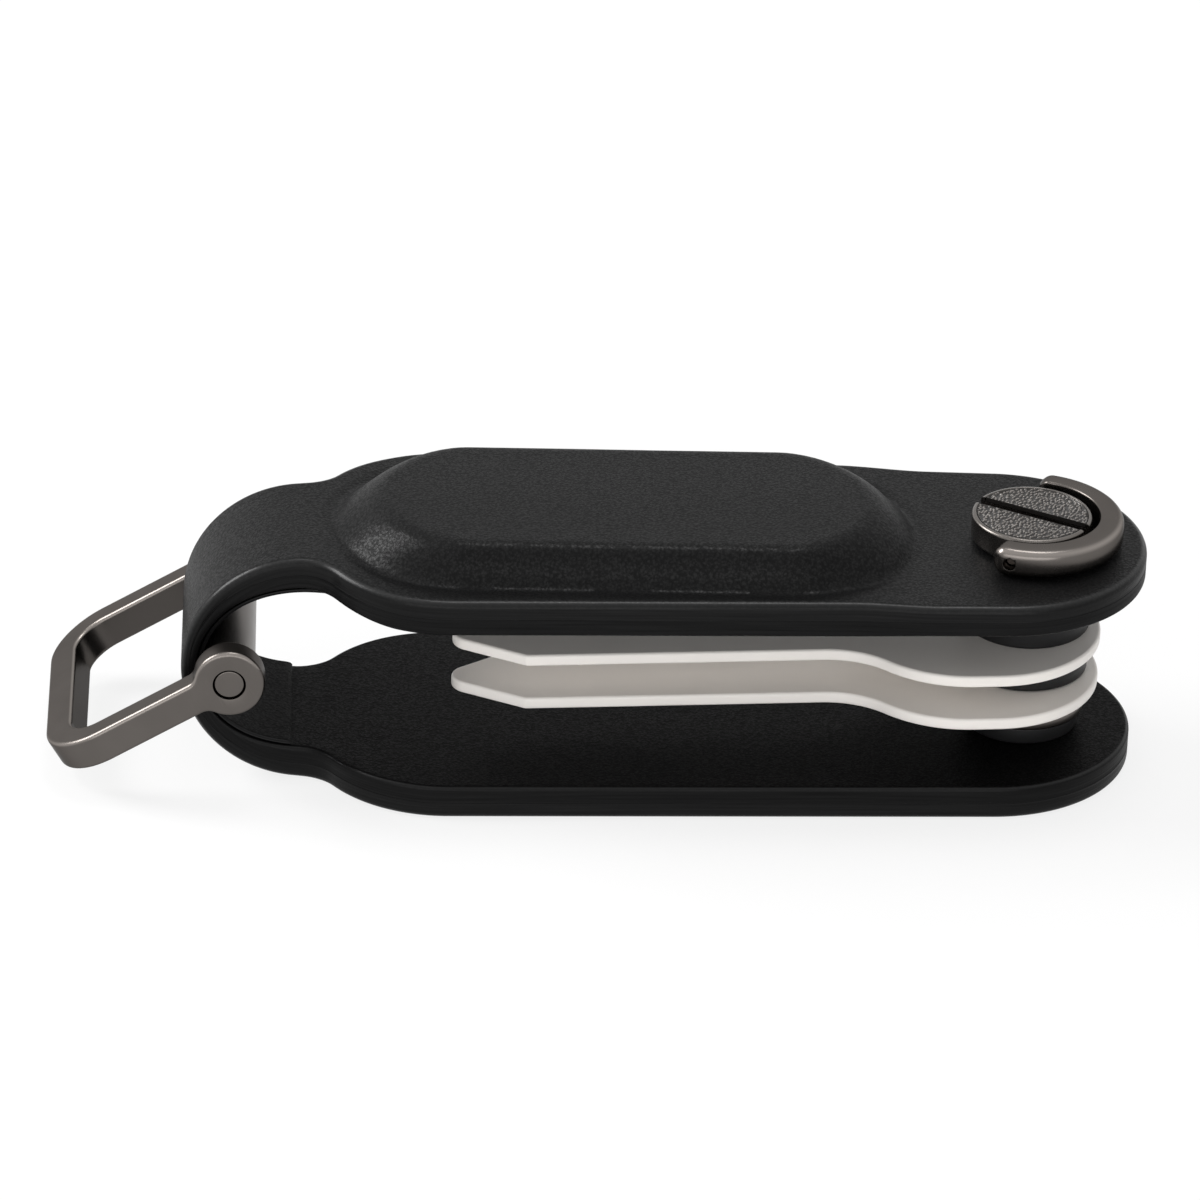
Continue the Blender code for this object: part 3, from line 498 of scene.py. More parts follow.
def metal_finish(name, colour, roughness, grazing=1.0):
    """Satin plating: a slight cloudiness, fine blasted grain and a softly varying sheen.

    Where the mesh marks an edge for a painted highlight it is painted lighter, and where it is
    marked as inside it is painted darker, a painted shade.
    """
    finish = Finish(name, metallic=1.0, Specular_Tint=(grazing, grazing, grazing, 1.0))
    cloud = finish.noise(3.5 * MM, 3.0)
    blast = finish.noise(0.07 * MM, 2.0)
    # Painted highlight: a lighter colour along the edges that the mesh marks for it.
    worn = finish.attribute("worn").step(0.3, 1.0)
    # Painted shade: faces marked as inside get a darker colour.
    inside = finish.attribute("inside").step(0.2, 0.9)
    plating = finish.tint(colour, cloud * 0.7 + blast * 0.3, 0.12)
    plating_with_painted_shade = finish.blend(inside, plating, shaded(colour, 0.6))
    varied = roughness + (cloud - 0.5) * 0.08 + (blast - 0.5) * 0.06
    # The doubled colour on the marked edges is the painted highlight.
    return finish.end(finish.blend(worn, plating_with_painted_shade, shaded(colour, 2.1)), varied,
                      blast * 0.4 + cloud * 0.5, 0.0016 * MM)


def inlay_finish(colour):
    """Dark pebbled metal: painted much lighter on the crests as painted glints, and darker in the
    hollows.
    """
    finish = Finish("pebbled_inlay", metallic=0.85, Coat_Weight=0.5, Coat_Roughness=0.12)
    crest = finish.attribute("crest").step(0.35, 0.95)
    speckle = finish.noise(0.16 * MM, 2.0)
    # Painted highlight: the crests get a far lighter colour as glints, the hollows a darker one.
    worn = finish.blend(crest * (speckle * 0.6 + 0.6), shaded(colour, 0.45), shaded(colour, 3.0))
    return finish.end(worn, 0.52 - crest * 0.22 + (speckle - 0.5) * 0.2, speckle, 0.02 * MM)


def plastic_finish(name, colour, roughness, specular=0.5):
    """Moulded plastic with a fine spark-eroded texture and slight flow clouding."""
    finish = Finish(name, specular=specular)
    cloud = finish.noise(6.0 * MM, 2.0)
    fine = finish.noise(0.11 * MM, 2.0)
    varied = roughness + (cloud - 0.5) * 0.08 + (fine - 0.5) * 0.1
    return finish.end(finish.tint(colour, cloud * 0.8 + fine * 0.2, 0.045), varied,
                      fine + cloud * 0.4, 0.012 * MM)


def board_finish(colour):
    """Solder resist over copper runs."""
    finish = Finish("circuit_board")
    runs = finish.cells(1.6 * MM, "DISTANCE_TO_EDGE").step(0.05, 0.09)
    resist = finish.blend(runs, (0.06, 0.26, 0.10, 1.0), shaded(colour, 1.0))
    return finish.end(resist, 0.35 + runs * 0.1, 1.0 - runs, 0.03 * MM)


def foil_finish(colour):
    """The cell's foil pouch, slightly crumpled."""
    finish = Finish("cell_foil", metallic=1.0)
    crumple = finish.noise(1.8 * MM, 4.0, distortion=0.8)
    return finish.end(finish.tint(colour, crumple, 0.1), 0.3 + crumple * 0.15, crumple, 0.06 * MM)


# Mesh helpers

def ramp(value, start=0.0, end=1.0):
    """Smooth step from 0 at start to 1 at end."""
    part = min(max((value - start) / (end - start), 0.0), 1.0)
    return part * part * (3.0 - 2.0 * part)


def mix(low, high, part):
    return low + (high - low) * part


def arc(centre, radius, start, end, steps):
    """Points on an arc, both ends included."""
    angles = [mix(start, end, i / steps) for i in range(steps + 1)]
    return [(centre[0] + radius * cos(a), centre[1] + radius * sin(a)) for a in angles]


def rounded(corners, steps=5, closed=False):
    """Round the corners of an outline. Each corner is (x, y, radius), and 0 keeps it sharp."""
    points = []
    for i, (x, y, radius) in enumerate(corners):
        here = Vector((x, y))
        if not radius or (not closed and i in (0, len(corners) - 1)):
            points.append((x, y))
            continue
        back = (Vector(corners[i - 1][:2]) - here).normalized()
        ahead = (Vector(corners[(i + 1) % len(corners)][:2]) - here).normalized()
        half = back.angle(ahead) / 2.0
        centre = here + (back + ahead).normalized() * (radius / sin(half))
        first = here + back * (radius / tan(half)) - centre
        last = here + ahead * (radius / tan(half)) - centre
        start = atan2(first.y, first.x)
        sweep = remainder(atan2(last.y, last.x) - start, 2.0 * pi)
        points += arc(centre, radius, start, start + sweep, steps)
    return points


def skin(rows, wrap_points=True, wrap_rows=False):
    """Points and faces of a surface through rows that have equal counts of points."""
    count = len(rows[0])
    points = [point for row in rows for point in row]
    faces = []
    for r in range(len(rows) - (0 if wrap_rows else 1)):
        low, high = r * count, (r + 1) % len(rows) * count
        for i in range(count - (0 if wrap_points else 1)):
            j = (i + 1) % count
            faces.append((low + i, low + j, high + j, high + i))
    return points, faces


def capped(rows):
    """Points and faces of a surface through closed rows, with a flat face on the two ends."""
    points, faces = skin(rows)
    count = len(rows[0])
    last = len(points)
    return points, faces + [tuple(range(count)), tuple(range(last - 1, last - count - 1, -1))]


def prism(outline, bottom, top):
    """Points and faces of a flat outline between two heights."""
    return capped([[Vector((x, y, z)) for x, y in outline] for z in (bottom, top)])


def turned(profile, steps=96, closed=False):
    """Points and faces of a profile of (radius, height) turned round Z."""
    rows = []
    for i in range(steps):
        angle = 2.0 * pi * i / steps
        rows.append([Vector((r * cos(angle), r * sin(angle), z)) for r, z in profile])
    return skin(rows, wrap_points=closed, wrap_rows=True)


def rectangle(half_length, half_width):
    return [(-half_length, -half_width), (half_length, -half_width), (half_length, half_width),
            (-half_length, half_width)]


def rod(radius, low, high, steps=64):
    """Points and faces of a plain cylinder round Z, to cut a bore with."""
    return turned([(0.0, low), (radius, low), (radius, high), (0.0, high)], steps)


def washer(inner, outer, bottom, top, edge, steps=96):
    """Points and faces of a washer with rounded corners."""
    inner_edge = min(edge, 0.12 * MM)
    corners = [(inner, bottom, inner_edge), (outer, bottom, edge), (outer, top, edge),
               (inner, top, inner_edge)]
    return turned(rounded(corners, 4, closed=True), steps, closed=True)


def spin(angle, axis="Z"):
    return Matrix.Rotation(angle, 4, axis)


def make_mesh(name, points, faces, turn=None, attributes=None):
    """A mesh object at the origin, with merged doubles and outward normals."""
    mesh = bpy.data.meshes.new(name)
    mesh.from_pydata([tuple(point) for point in points], [], faces)
    for label, values in (attributes or {}).items():
        mesh.attributes.new(label, "FLOAT", "POINT").data.foreach_set("value", values)
    shape = bmesh.new()
    shape.from_mesh(mesh)
    bmesh.ops.remove_doubles(shape, verts=shape.verts, dist=MERGE_DISTANCE)
    bmesh.ops.recalc_face_normals(shape, faces=shape.faces)
    if turn is not None:
        shape.transform(turn)
    shape.to_mesh(mesh)
    shape.free()
    obj = bpy.data.objects.new(name, mesh)
    bpy.context.scene.collection.objects.link(obj)
    return obj


def cut(obj, *cutters):
    """Add a live Boolean that takes each cutter away."""
    for cutter in cutters:
        boolean = obj.modifiers.new(cutter.name, "BOOLEAN")
        boolean.operation = "DIFFERENCE"
        boolean.solver = "EXACT"
        boolean.object = cutter


def soften(obj, width, angle=radians(50), segments=2):
    """Add a live Bevel along the edges that are sharper than an angle."""
    bevel = obj.modifiers.new("soften", "BEVEL")
    bevel.width = width
    bevel.segments = segments
    bevel.limit_method = "ANGLE"
    bevel.angle_limit = angle


def bake(obj):
    """Replace the mesh by what its modifiers make of it."""
    bpy.context.view_layer.update()
    evaluated = obj.evaluated_get(bpy.context.evaluated_depsgraph_get())
    mesh = bpy.data.meshes.new_from_object(evaluated)
    obj.modifiers.clear()
    obj.data = mesh


def finish_piece(obj, material, body, slot, *replaced):
    """Bake the modifiers, smooth the shading, and give the piece its material and its body."""
    cutters = [m.object for m in obj.modifiers if m.type == "BOOLEAN"]
    if obj.modifiers:
        bake(obj)
    for cutter in cutters:
        bpy.data.objects.remove(cutter)
    obj.data.materials.clear()
    obj.data.materials.append(material)
    obj.data.polygons.foreach_set("material_index", [0] * len(obj.data.polygons))
    obj.data.shade_smooth()
    obj.data.set_sharp_from_angle(angle=SHARP_ANGLE)
    weighted = obj.modifiers.new("weighted", "WEIGHTED_NORMAL")
    weighted.keep_sharp = True
    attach(obj, body)
    if replaced:
        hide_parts(*replaced)


def dress(node, material):
    """Give a CAD node its material."""
    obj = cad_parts[node]
    obj.data.materials.clear()
    obj.data.materials.append(material)


# Strap

def upper_surface(x):
    """Height of the upper leg's outer surface, without the raised oblong."""
    height = mix(FOLD_TOP, MIDDLE_TOP, ramp(x, FOLD_CENTRE_X, FOLD_SLOPE_END_X))
    return mix(height, SCREW_TOP, ramp(x, DIP_START_X, DIP_END_X))


def upper_thickness(x):
    thickness = mix(NECK_THICKNESS, MIDDLE_THICKNESS, ramp(x, FOLD_CENTRE_X, FOLD_SLOPE_END_X))
    return mix(thickness, SCREW_SEAT_THICKNESS, ramp(x, DIP_START_X, DIP_END_X))


def fold_thickness(angle):
    """The leather is pared down towards the middle of the fold."""
    leg = mix(NECK_THICKNESS, LOWER_THICKNESS, (angle - FOLD_END) / pi)
    return mix(leg, FOLD_THICKNESS, cos(angle) ** 2)


def on_lower_leg(x, depth):
    return x, depth


def on_upper_leg(x, depth):
    return x, upper_surface(x) - depth


def on_fold(angle, depth):
    radius = FOLD_RADIUS - depth
    return FOLD_CENTRE_X + radius * cos(angle), FOLD_RADIUS + radius * sin(angle)


def bulge_ground():
    """The level that the oblong and its pocket rise from: the leg's highest point under them."""
    reach = BULGE_LENGTH / 2.0 - POCKET_INSETS[0][0] * MM
    ends = (BULGE_CENTRE_X - reach, BULGE_CENTRE_X + reach)
    return max(MIDDLE_TOP, *(upper_surface(x) for x in ends))


def bulge_rise(x, y):
    """How far the oblong and the crease round it lift the upper leg's outer surface."""
    half_run = (BULGE_LENGTH - BULGE_WIDTH) / 2.0
    beyond = max(abs(x - BULGE_CENTRE_X) - half_run, 0.0)
    away = hypot(beyond, y)
    endwise = ramp(beyond / max(away, 1e-9))
    inside = BULGE_WIDTH / 2.0 + BULGE_END_SPREAD * endwise - away
    width = mix(BULGE_SHOULDER, BULGE_END_SHOULDER, endwise)
    part = min(max(inside / width, 0.0), 1.0)
    pillowed = ramp(1.0 - (1.0 - part) ** PILLOW_POWER)
    slanted = mix(ramp(part), 1.0 - (1.0 - part) ** SLANT_POWER, SLANT_SHARE)
    shoulder = mix(pillowed, slanted, endwise)
    level = (bulge_ground() - upper_surface(x)) * shoulder
    crown = BULGE_CROWN * ramp(inside, width * CROWN_START, BULGE_WIDTH / 2.0)
    crease = exp(-((inside + CREASE_PLACE) / CREASE_WIDTH) ** 2)
    return level + (BULGE_HEIGHT - BULGE_CROWN) * shoulder + crown - CREASE_DEPTH * crease


def steps_for(length, spacing):
    return max(3, ceil(abs(length) / spacing))


def leg_outline(end_x, spacing):
    """Half outline of a leg, from its round end to the neck: (x, y, angle of outward normal)."""
    end_centre = Vector((end_x - END_RADIUS, 0.0))
    fillet_centre = Vector((FOLD_CENTRE_X - NECK_RUN_IN, NECK_HALF_WIDTH + NECK_FILLET))
    shoulder_y = BODY_HALF_WIDTH - SHOULDER_RADIUS
    reach = SHOULDER_RADIUS + NECK_FILLET
    shoulder_x = fillet_centre.x + sqrt(reach ** 2 - (fillet_centre.y - shoulder_y) ** 2)
    shoulder_centre = Vector((shoulder_x, shoulder_y))
    run = end_centre - shoulder_centre
    side = atan2(run.y, run.x) + acos((SHOULDER_RADIUS - END_RADIUS) / run.length)
    joint = atan2(fillet_centre.y - shoulder_y, fillet_centre.x - shoulder_x)

    def along(centre, radius, start, end, inward=1.0):
        steps = steps_for(radius * (end - start), spacing)
        points = arc(centre, radius * inward, start, end, steps)
        return [(x, y, mix(start, end, i / steps)) for i, (x, y) in enumerate(points)]

    outline = along(end_centre, END_RADIUS, 0.0, side)
    side_start = Vector(outline[-1][:2])
    shoulder = along(shoulder_centre, SHOULDER_RADIUS, side, joint)
    side_end = Vector(shoulder[0][:2])
    steps = steps_for((side_end - side_start).length, spacing)
    for i in range(1, steps):
        x, y = side_start.lerp(side_end, i / steps)
        outline.append((x, y, side))
    fillet = along(fillet_centre, NECK_FILLET, joint, pi / 2.0, -1.0)
    return outline + shoulder + fillet[1:]


def strap_rows(spacing):
    """Rows from the lower leg's end round the fold to the upper leg's end.

    Each row holds its place function, its station, half width, normal angle and thickness.
    """
    def leg(end_x, place, thickness, turn, way):
        """A leg's rows from its end to the neck, whose last ones lie on the fold."""
        for x, y, angle in leg_outline(end_x, spacing):
            if x >= FOLD_CENTRE_X:
                yield place, x, y, angle, thickness(x)
            else:
                station = turn + way * (FOLD_CENTRE_X - x) / FOLD_RADIUS
                yield on_fold, station, y, angle, fold_thickness(station)

    rows = list(leg(LOWER_END_X, on_lower_leg, lambda x: LOWER_THICKNESS, FOLD_START, -1.0))
    run_in = NECK_RUN_IN / FOLD_RADIUS
    fold_steps = steps_for(pi * FOLD_RADIUS, spacing)
    for i in range(1, fold_steps):
        station = mix(FOLD_START - run_in, FOLD_END + run_in, i / fold_steps)
        rows.append((on_fold, station, NECK_HALF_WIDTH, pi / 2.0, fold_thickness(station)))
    upper = list(leg(UPPER_END_X, on_upper_leg, upper_thickness, FOLD_END, 1.0))
    return rows + upper[::-1]


def corner_steps(radius, count=6):
    """Insets, depths and progress round a leather edge, from the face to the cut side."""
    angles = [mix(0.0, pi / 2.0, i / count) for i in range(count + 1)]
    return [(radius * (1.0 - sin(a)), radius * (1.0 - cos(a)), a / (pi / 2.0)) for a in angles]


def ply_section(thickness, outer, face_round, across):
    """Half section of a ply: (share of the flat width, inset, depth, edge) from face to seam."""
    ply = (thickness - SEAM_GAP) / 2.0
    section = [(i / across, face_round, 0.0, 0.0) for i in range(across)]
    section += [(1.0, inset, depth, edge) for inset, depth, edge in corner_steps(face_round)]
    section += [(1.0, 0.0, mix(face_round, ply - SEAM_ROUND, i / 3.0), 1.0) for i in (1, 2)]
    section += [(1.0, SEAM_ROUND - inset, ply - depth, 1.0)
                for inset, depth, _ in reversed(corner_steps(SEAM_ROUND, 2))]
    section += [(1.0 - i / SEAM_STEPS, SEAM_ROUND, ply, 1.0) for i in range(1, SEAM_STEPS + 1)]
    if outer:
        return section
    return [(share, inset, thickness - depth, edge) for share, inset, depth, edge in section]


class MarkedRows:
    """Rows of points, each with its marks: how far along, how deep, and how near a cut edge."""

    def __init__(self):
        self.rows = []
        self.marks = {"edge": [], "ply": [], "along": []}

    def add(self, row, travelled):
        """Add a row of (point, edge, depth)."""
        self.rows.append([point for point, _, _ in row])
        for _, edge, depth in row:
            for label, value in zip(self.marks, (edge, depth, travelled)):
                self.marks[label].append(value)


def build_ply(name, outer, face_round, spacing, across):
    """One ply of the strap, with the raised oblong on the outer one."""
    marked = MarkedRows()
    travelled = 0.0
    last = None
    for place, station, half_width, angle, thickness in strap_rows(spacing):
        here = (*place(station, 0.0), half_width)
        travelled += dist(here, last or here)
        last = here
        pressed = thickness * PRESSED_SHARE
        half = []
        for share, inset, depth, edge in ply_section(thickness, outer, face_round, across):
            shift = 0.0 if place is on_fold else inset * cos(angle)
            x, z = place(station - shift, depth)
            y = share * max(half_width - inset * sin(angle), 0.0)
            if outer and place is on_upper_leg and depth < pressed:
                z += bulge_rise(x, y) * (1.0 - depth / pressed)
            half.append((Vector((x, y, z)), edge, depth))
        mirrored = [(Vector((p.x, -p.y, p.z)), edge, depth) for p, edge, depth in reversed(half)]
        marked.add(half + mirrored, travelled)
    return make_mesh(name, *skin(marked.rows), attributes=marked.marks)


def oblong_row(inset, height, steps=40):
    """The raised oblong's outline moved in by an inset."""
    radius = BULGE_WIDTH / 2.0 - inset
    offset = (BULGE_LENGTH - BULGE_WIDTH) / 2.0
    points = arc((BULGE_CENTRE_X + offset, 0.0), radius, -pi / 2.0, pi / 2.0, steps)
    points += arc((BULGE_CENTRE_X - offset, 0.0), radius, pi / 2.0, pi * 1.5, steps)
    return [Vector((x, y, height)) for x, y in points]


def strap_cutters():
    """The post's stepped hole through both legs, and the pocket under the oblong."""
    top = SCREW_TOP + CUT_OVERRUN
    stepped = [(0.0, -CUT_OVERRUN), (BASE_SINK_RADIUS, -CUT_OVERRUN),
               (BASE_SINK_RADIUS, BASE_SINK_DEPTH), (POST_HOLE_RADIUS, BASE_SINK_DEPTH),
               (POST_HOLE_RADIUS, top), (0.0, top)]
    hole = make_mesh("post_hole", *turned(stepped, 64))
    ground = bulge_ground() - POCKET_CLEARANCE
    rings = [oblong_row(inset * MM, ground + rise * MM) for inset, rise in POCKET_INSETS]
    return hole, make_mesh("pocket", *capped(rings))


def build_liner():
    """The thin liner inside the fold, with its ends pared to an edge."""
    start = LINER_LOWER_ANGLE * FOLD_RADIUS
    end = FOLD_END * FOLD_RADIUS
    steps = steps_for(end - start, LINER_SPACING)
    stations = []
    for i in range(steps + 1):
        angle = mix(start, end, i / steps) / FOLD_RADIUS
        stations.append((on_fold, angle, fold_thickness(angle), abs(angle * FOLD_RADIUS - start)))
    reach = stations[-1][3]
    for i in range(1, LINER_LEG_STEPS + 1):
        run = LINER_UPPER_REACH * i / LINER_LEG_STEPS
        x = FOLD_CENTRE_X + run
        stations.append((on_upper_leg, x, upper_thickness(x), reach + run))
    total = stations[-1][3]
    marked = MarkedRows()
    for place, station, thickness, travelled in stations:
        pared = min(min(travelled, total - travelled) / LINER_SKIVE, 1.0)
        body = LINER_THICKNESS * mix(LINER_END_SHARE, 1.0, sqrt(pared * (2.0 - pared)))
        base = thickness + LINER_OUTER_DEPTH
        edge_round = body * LINER_EDGE_SHARE
        under = [(share * LINER_HALF_WIDTH, base, 0.0) for share in (-1.0, -0.5, 0.0, 0.5, 1.0)]
        over = [(share * (LINER_HALF_WIDTH - edge_round), base + body, 0.0)
                for share in (0.6, 0.0, -0.6)]
        right = [(LINER_HALF_WIDTH - inset, base + body - depth, edge)
                 for inset, depth, edge in reversed(corner_steps(edge_round, 4))]
        left = [(-y, depth, edge) for y, depth, edge in reversed(right)]
        row = []
        for y, depth, edge in under + right + over + left:
            x, z = place(station, depth)
            row.append((Vector((x, y, z)), edge, depth))
        marked.add(row, travelled)
    return make_mesh("fold_liner_leather", *capped(marked.rows), attributes=marked.marks)


class ORGANIZER_OT_strap(bpy.types.Operator):
    """Build the two plies of the folded strap, with the raised oblong, and the fold's liner"""
    bl_idname = "organizer.strap"
    bl_label = "Leather Strap"

    def execute(self, context):
        settings = context.scene.organizer.strap
        leather = leather_finish("strap_leather", settings.colour, settings)
        # The lining's and the liner's darker colours paint the shade between the legs and in the
        # fold.
        lining = leather_finish("lining_leather", settings.lining_colour_and_shade, settings,
                                0.56, 0.02, 0.15)
        liner = leather_finish("liner_leather", settings.liner_colour_and_shade, settings, 0.6, 0.03, 0.12)
        spacing = settings.row_spacing
        hole, pocket = strap_cutters()
        lining_hole = hole.copy()
        context.scene.collection.objects.link(lining_hole)
        shell = build_ply("strap_shell", True, settings.edge_round, spacing, OUTER_POINTS)
        cut(shell, hole, pocket)
        finish_piece(shell, leather, "case", "leather", "strap_outer")
        inner = build_ply("strap_inner_ply", False, settings.inner_round,
                          spacing * LINING_COARSENESS, LINING_POINTS)
        cut(inner, lining_hole)
        finish_piece(inner, lining, "case", "leather", "strap_lining")
        finish_piece(build_liner(), liner, "case", "liner_leather", "fold_liner")
        return {"FINISHED"}


class ORGANIZER_OT_module(bpy.types.Operator):
    """Finish the finder module that lies in the strap's pocket"""
    bl_idname = "organizer.module"
    bl_label = "Finder Module"

    def execute(self, context):
        colours = context.scene.organizer.plastic
        housing = plastic_finish("module_plastic", colours.module, 0.45)
        for node in ("tracker_tray", "tracker_cover"):
            dress(node, housing)
        dress("tracker_board", board_finish(colours.board))
        dress("tracker_cell", foil_finish(colours.cell))
        return {"FINISHED"}


# Post and what is stacked on it

STACK = (
    ("base_washer", "black_nylon", 5.5 * MM, 0.2 * MM),
    ("post_collar", "gunmetal", 6.0 * MM, 0.22 * MM),
    ("collar_washer", "black_nylon", 5.5 * MM, 0.3 * MM),
    ("key_spacer", "black_nylon", 6.1 * MM, 0.3 * MM),
    ("upper_spacer", "black_nylon", 6.1 * MM, 0.3 * MM),
    ("top_washer", "black_nylon", 6.1 * MM, 0.3 * MM),
)
STACK_BORE = 3.15 * MM
POST_BASE_RADIUS = 5.0 * MM
POST_BASE_THICKNESS = 1.2 * MM
POST_RADIUS = 3.0 * MM
POST_BORE_RADIUS = 2.2 * MM
POST_BORE_DEPTH = 7.6 * MM
POST_EDGE = 0.2 * MM


def build_washer(node, material, body, slot, inner, outer, edge):
    """A washer or spacer with the height of its CAD node."""
    low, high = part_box(node)
    piece = make_mesh(node + "_turned", *washer(inner, outer, low.z, high.z, edge))
    finish_piece(piece, material, body, slot, node)


class ORGANIZER_OT_stack(bpy.types.Operator):
    """Build the post and the washers, collar and spacers that are stacked on it"""
    bl_idname = "organizer.stack"
    bl_label = "Post and Stack"

    def execute(self, context):
        settings = context.scene.organizer
        nylon = plastic_finish("black_nylon", settings.plastic.washer, 0.42, 0.3)
        metal = metal_finish("collar_metal", settings.metal.gunmetal, 0.32)
        for node, slot, radius, edge in STACK:
            material = metal if slot == "gunmetal" else nylon
            build_washer(node, material, "case", slot, STACK_BORE, radius, edge)
        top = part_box("post")[1].z
        profile = rounded([
            (0.0, 0.0, 0.0), (POST_BASE_RADIUS, 0.0, POST_EDGE),
            (POST_BASE_RADIUS, POST_BASE_THICKNESS, POST_EDGE / 2.0),
            (POST_RADIUS, POST_BASE_THICKNESS, 0.0), (POST_RADIUS, top, POST_EDGE),
            (POST_BORE_RADIUS, top, POST_EDGE / 2.0),
            (POST_BORE_RADIUS, top - POST_BORE_DEPTH, 0.0), (0.0, top - POST_BORE_DEPTH, 0.0),
        ], 4)
        finish_piece(make_mesh("screw_post", *turned(profile)), metal, "case", "gunmetal", "post")
        return {"FINISHED"}


# Key blanks

def key_outline():
    """A blank's outline: oval head, hollow fillets, straight blade and a pointed nose."""
    half = KEY_BLADE_WIDTH / 2.0
    inner_x = KEY_HEAD_X - KEY_HEAD_SIDE
    rise = half + KEY_NECK_FILLET
    run = sqrt((KEY_HEAD_RADIUS + KEY_NECK_FILLET) ** 2 - rise ** 2)
    meet = atan2(rise, -run)
    side = arc((KEY_HEAD_X, 0.0), KEY_HEAD_RADIUS, 0.0, pi / 2.0, 48)
    side += arc((inner_x, 0.0), KEY_HEAD_RADIUS, pi / 2.0, meet, 24)
    side += arc((inner_x - run, rise), KEY_NECK_FILLET, meet - pi, -pi / 2.0, 20)[1:]
    nose = arc((-KEY_REACH + KEY_NOSE_RADIUS, 0.0), KEY_NOSE_RADIUS, pi - KEY_NOSE_ANGLE, pi, 10)
    corner = (-KEY_REACH + KEY_TIP_LENGTH, half)
    side += rounded([(*side[-1], 0.0), (*corner, KEY_TIP_CORNER), (*nose[0], 0.0)], 5)[1:]
    side += nose[1:]
    return side + [(x, -y) for x, y in reversed(side[1:-1])]


class ORGANIZER_OT_keys(bpy.types.Operator):
    """Build the two key blanks on the post"""
    bl_idname = "organizer.keys"
    bl_label = "Key Blanks"

    def execute(self, context):
        settings = context.scene.organizer.plastic
        plastic = plastic_finish("key_plastic", settings.key, 0.4, 0.4)
        for node in ("lower_key", "upper_key"):
            low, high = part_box(node)
            outline = prism(key_outline(), low.z, high.z)
            blank = make_mesh(node + "_blank", *outline, spin(KEY_TURN))
            bore = rod(KEY_HOLE_RADIUS, low.z - CUT_OVERRUN, high.z + CUT_OVERRUN)
            cut(blank, make_mesh(node + "_hole", *bore))
            soften(blank, settings.key_round, radians(60), 5)
            finish_piece(blank, plastic, node, "key_plastic", node)
        return {"FINISHED"}


# Coin screw

def inlay_mesh(name, turn):
    """Half of the head's inlay: a fine grid over the half disc, with thin sides and a floor."""
    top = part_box("screw")[1].z
    floor = top - HEAD_INLAY_DEPTH
    radius = HEAD_RADIUS - HEAD_RIM - INLAY_GAP
    chord = SLOT_WIDTH / 2.0 + INLAY_GAP
    last_y = radius * sin(pi / 2.0 - INLAY_TIP_ANGLE)
    rows = []
    for i in range(INLAY_ROWS + 1):
        y = mix(chord, last_y, i / INLAY_ROWS)
        half = sqrt(radius ** 2 - y ** 2)
        rows.append([Vector((mix(-half, half, j / INLAY_COLUMNS), y, top))
                     for j in range(INLAY_COLUMNS + 1)])
    points, faces = skin(rows, wrap_points=False)
    rim = [row[0] for row in rows] + rows[-1][1:-1] + [row[-1] for row in reversed(rows)]
    rim += rows[0][-2:0:-1]
    low = [Vector((p.x, p.y, floor)) for p in rim]
    side_points, side_faces = skin([rim, low])
    base = len(points)
    faces += [tuple(base + i for i in face) for face in side_faces]
    faces.append(tuple(base + len(rim) + i for i in range(len(rim))))
    points += side_points
    grained = []
    for p in points:
        edge = min(radius - hypot(p.x, p.y), p.y - chord)
        inside = ramp(edge, INLAY_FADE_START, INLAY_FADE_END)
        grained.append(inside if p.z > floor else 0.0)
    return make_mesh(name, points, faces, spin(SLOT_ANGLE + turn), {"grained": grained})


def pebble_tree(settings, material):
    """Raise rounded pebbles on the part of a surface that is marked as grained."""
    tree = SizedTree("pebbled_surface", {
        "Pebble Size": settings.pebble_size, "Pebble Height": settings.pebble_height, "Seed": 7})
    seed = tree.size("Seed")
    scaled = tree.result("ShaderNodeVectorMath", {
        0: tree.result("GeometryNodeInputPosition"),
        "Scale": tree.number("DIVIDE", 1.0, tree.size("Pebble Size"))}, operation="SCALE")
    place = tree.result("ShaderNodeVectorMath", {0: scaled, 1: tree.vector(seed, seed)},
                        operation="ADD")
    pattern = tree.node("ShaderNodeTexVoronoi", {
        "Vector": place, "Scale": 1.0, "Randomness": 0.85}, voronoi_dimensions="2D", feature="F1")
    grained = tree.result("GeometryNodeInputNamedAttribute", {"Name": "grained"},
                          data_type="FLOAT")
    crest = Value(tree, pattern.outputs["Distance"]).step(0.6, 0.08) * grained
    kept = tree.result("GeometryNodeStoreNamedAttribute", {
        "Geometry": tree.start.outputs["Geometry"], "Name": "crest", "Value": crest},
        data_type="FLOAT", domain="POINT")
    rise = (crest - grained) * tree.size("Pebble Height")
    moved = tree.result("GeometryNodeSetPosition", {
        "Geometry": kept, "Offset": tree.vector(z=rise)})
    return tree.end(moved, material)


def thread_tree(settings, bottom, turns, material):
    """A thread's tooth, swept along a helix round the shank."""
    tree = SizedTree("screw_thread", {
        "Core Radius": SHANK_RADIUS - settings.thread_depth, "Tooth": settings.thread_depth,
        "Pitch": THREAD_PITCH, "Turns": float(turns), "Bottom": bottom,
        "Steps": settings.thread_steps})
    helix = tree.result("GeometryNodeCurveSpiral", {
        "Resolution": tree.size("Steps"), "Rotations": tree.size("Turns"),
        "Start Radius": tree.size("Core Radius"), "End Radius": tree.size("Core Radius"),
        "Height": tree.size("Pitch") * tree.size("Turns")})
    upright = tree.result("GeometryNodeSetCurveNormal", {"Curve": helix}, mode="Z_UP")
    tooth = tree.result("GeometryNodeCurvePrimitiveCircle", {
        "Resolution": 4, "Radius": tree.size("Tooth")}, mode="RADIUS")
    swept = tree.result("GeometryNodeCurveToMesh", {
        "Curve": upright, "Profile Curve": tooth, "Fill Caps": True})
    placed = tree.result("GeometryNodeTransform", {
        "Geometry": swept, "Translation": tree.vector(z=tree.size("Bottom"))})
    return tree.end(placed, material)


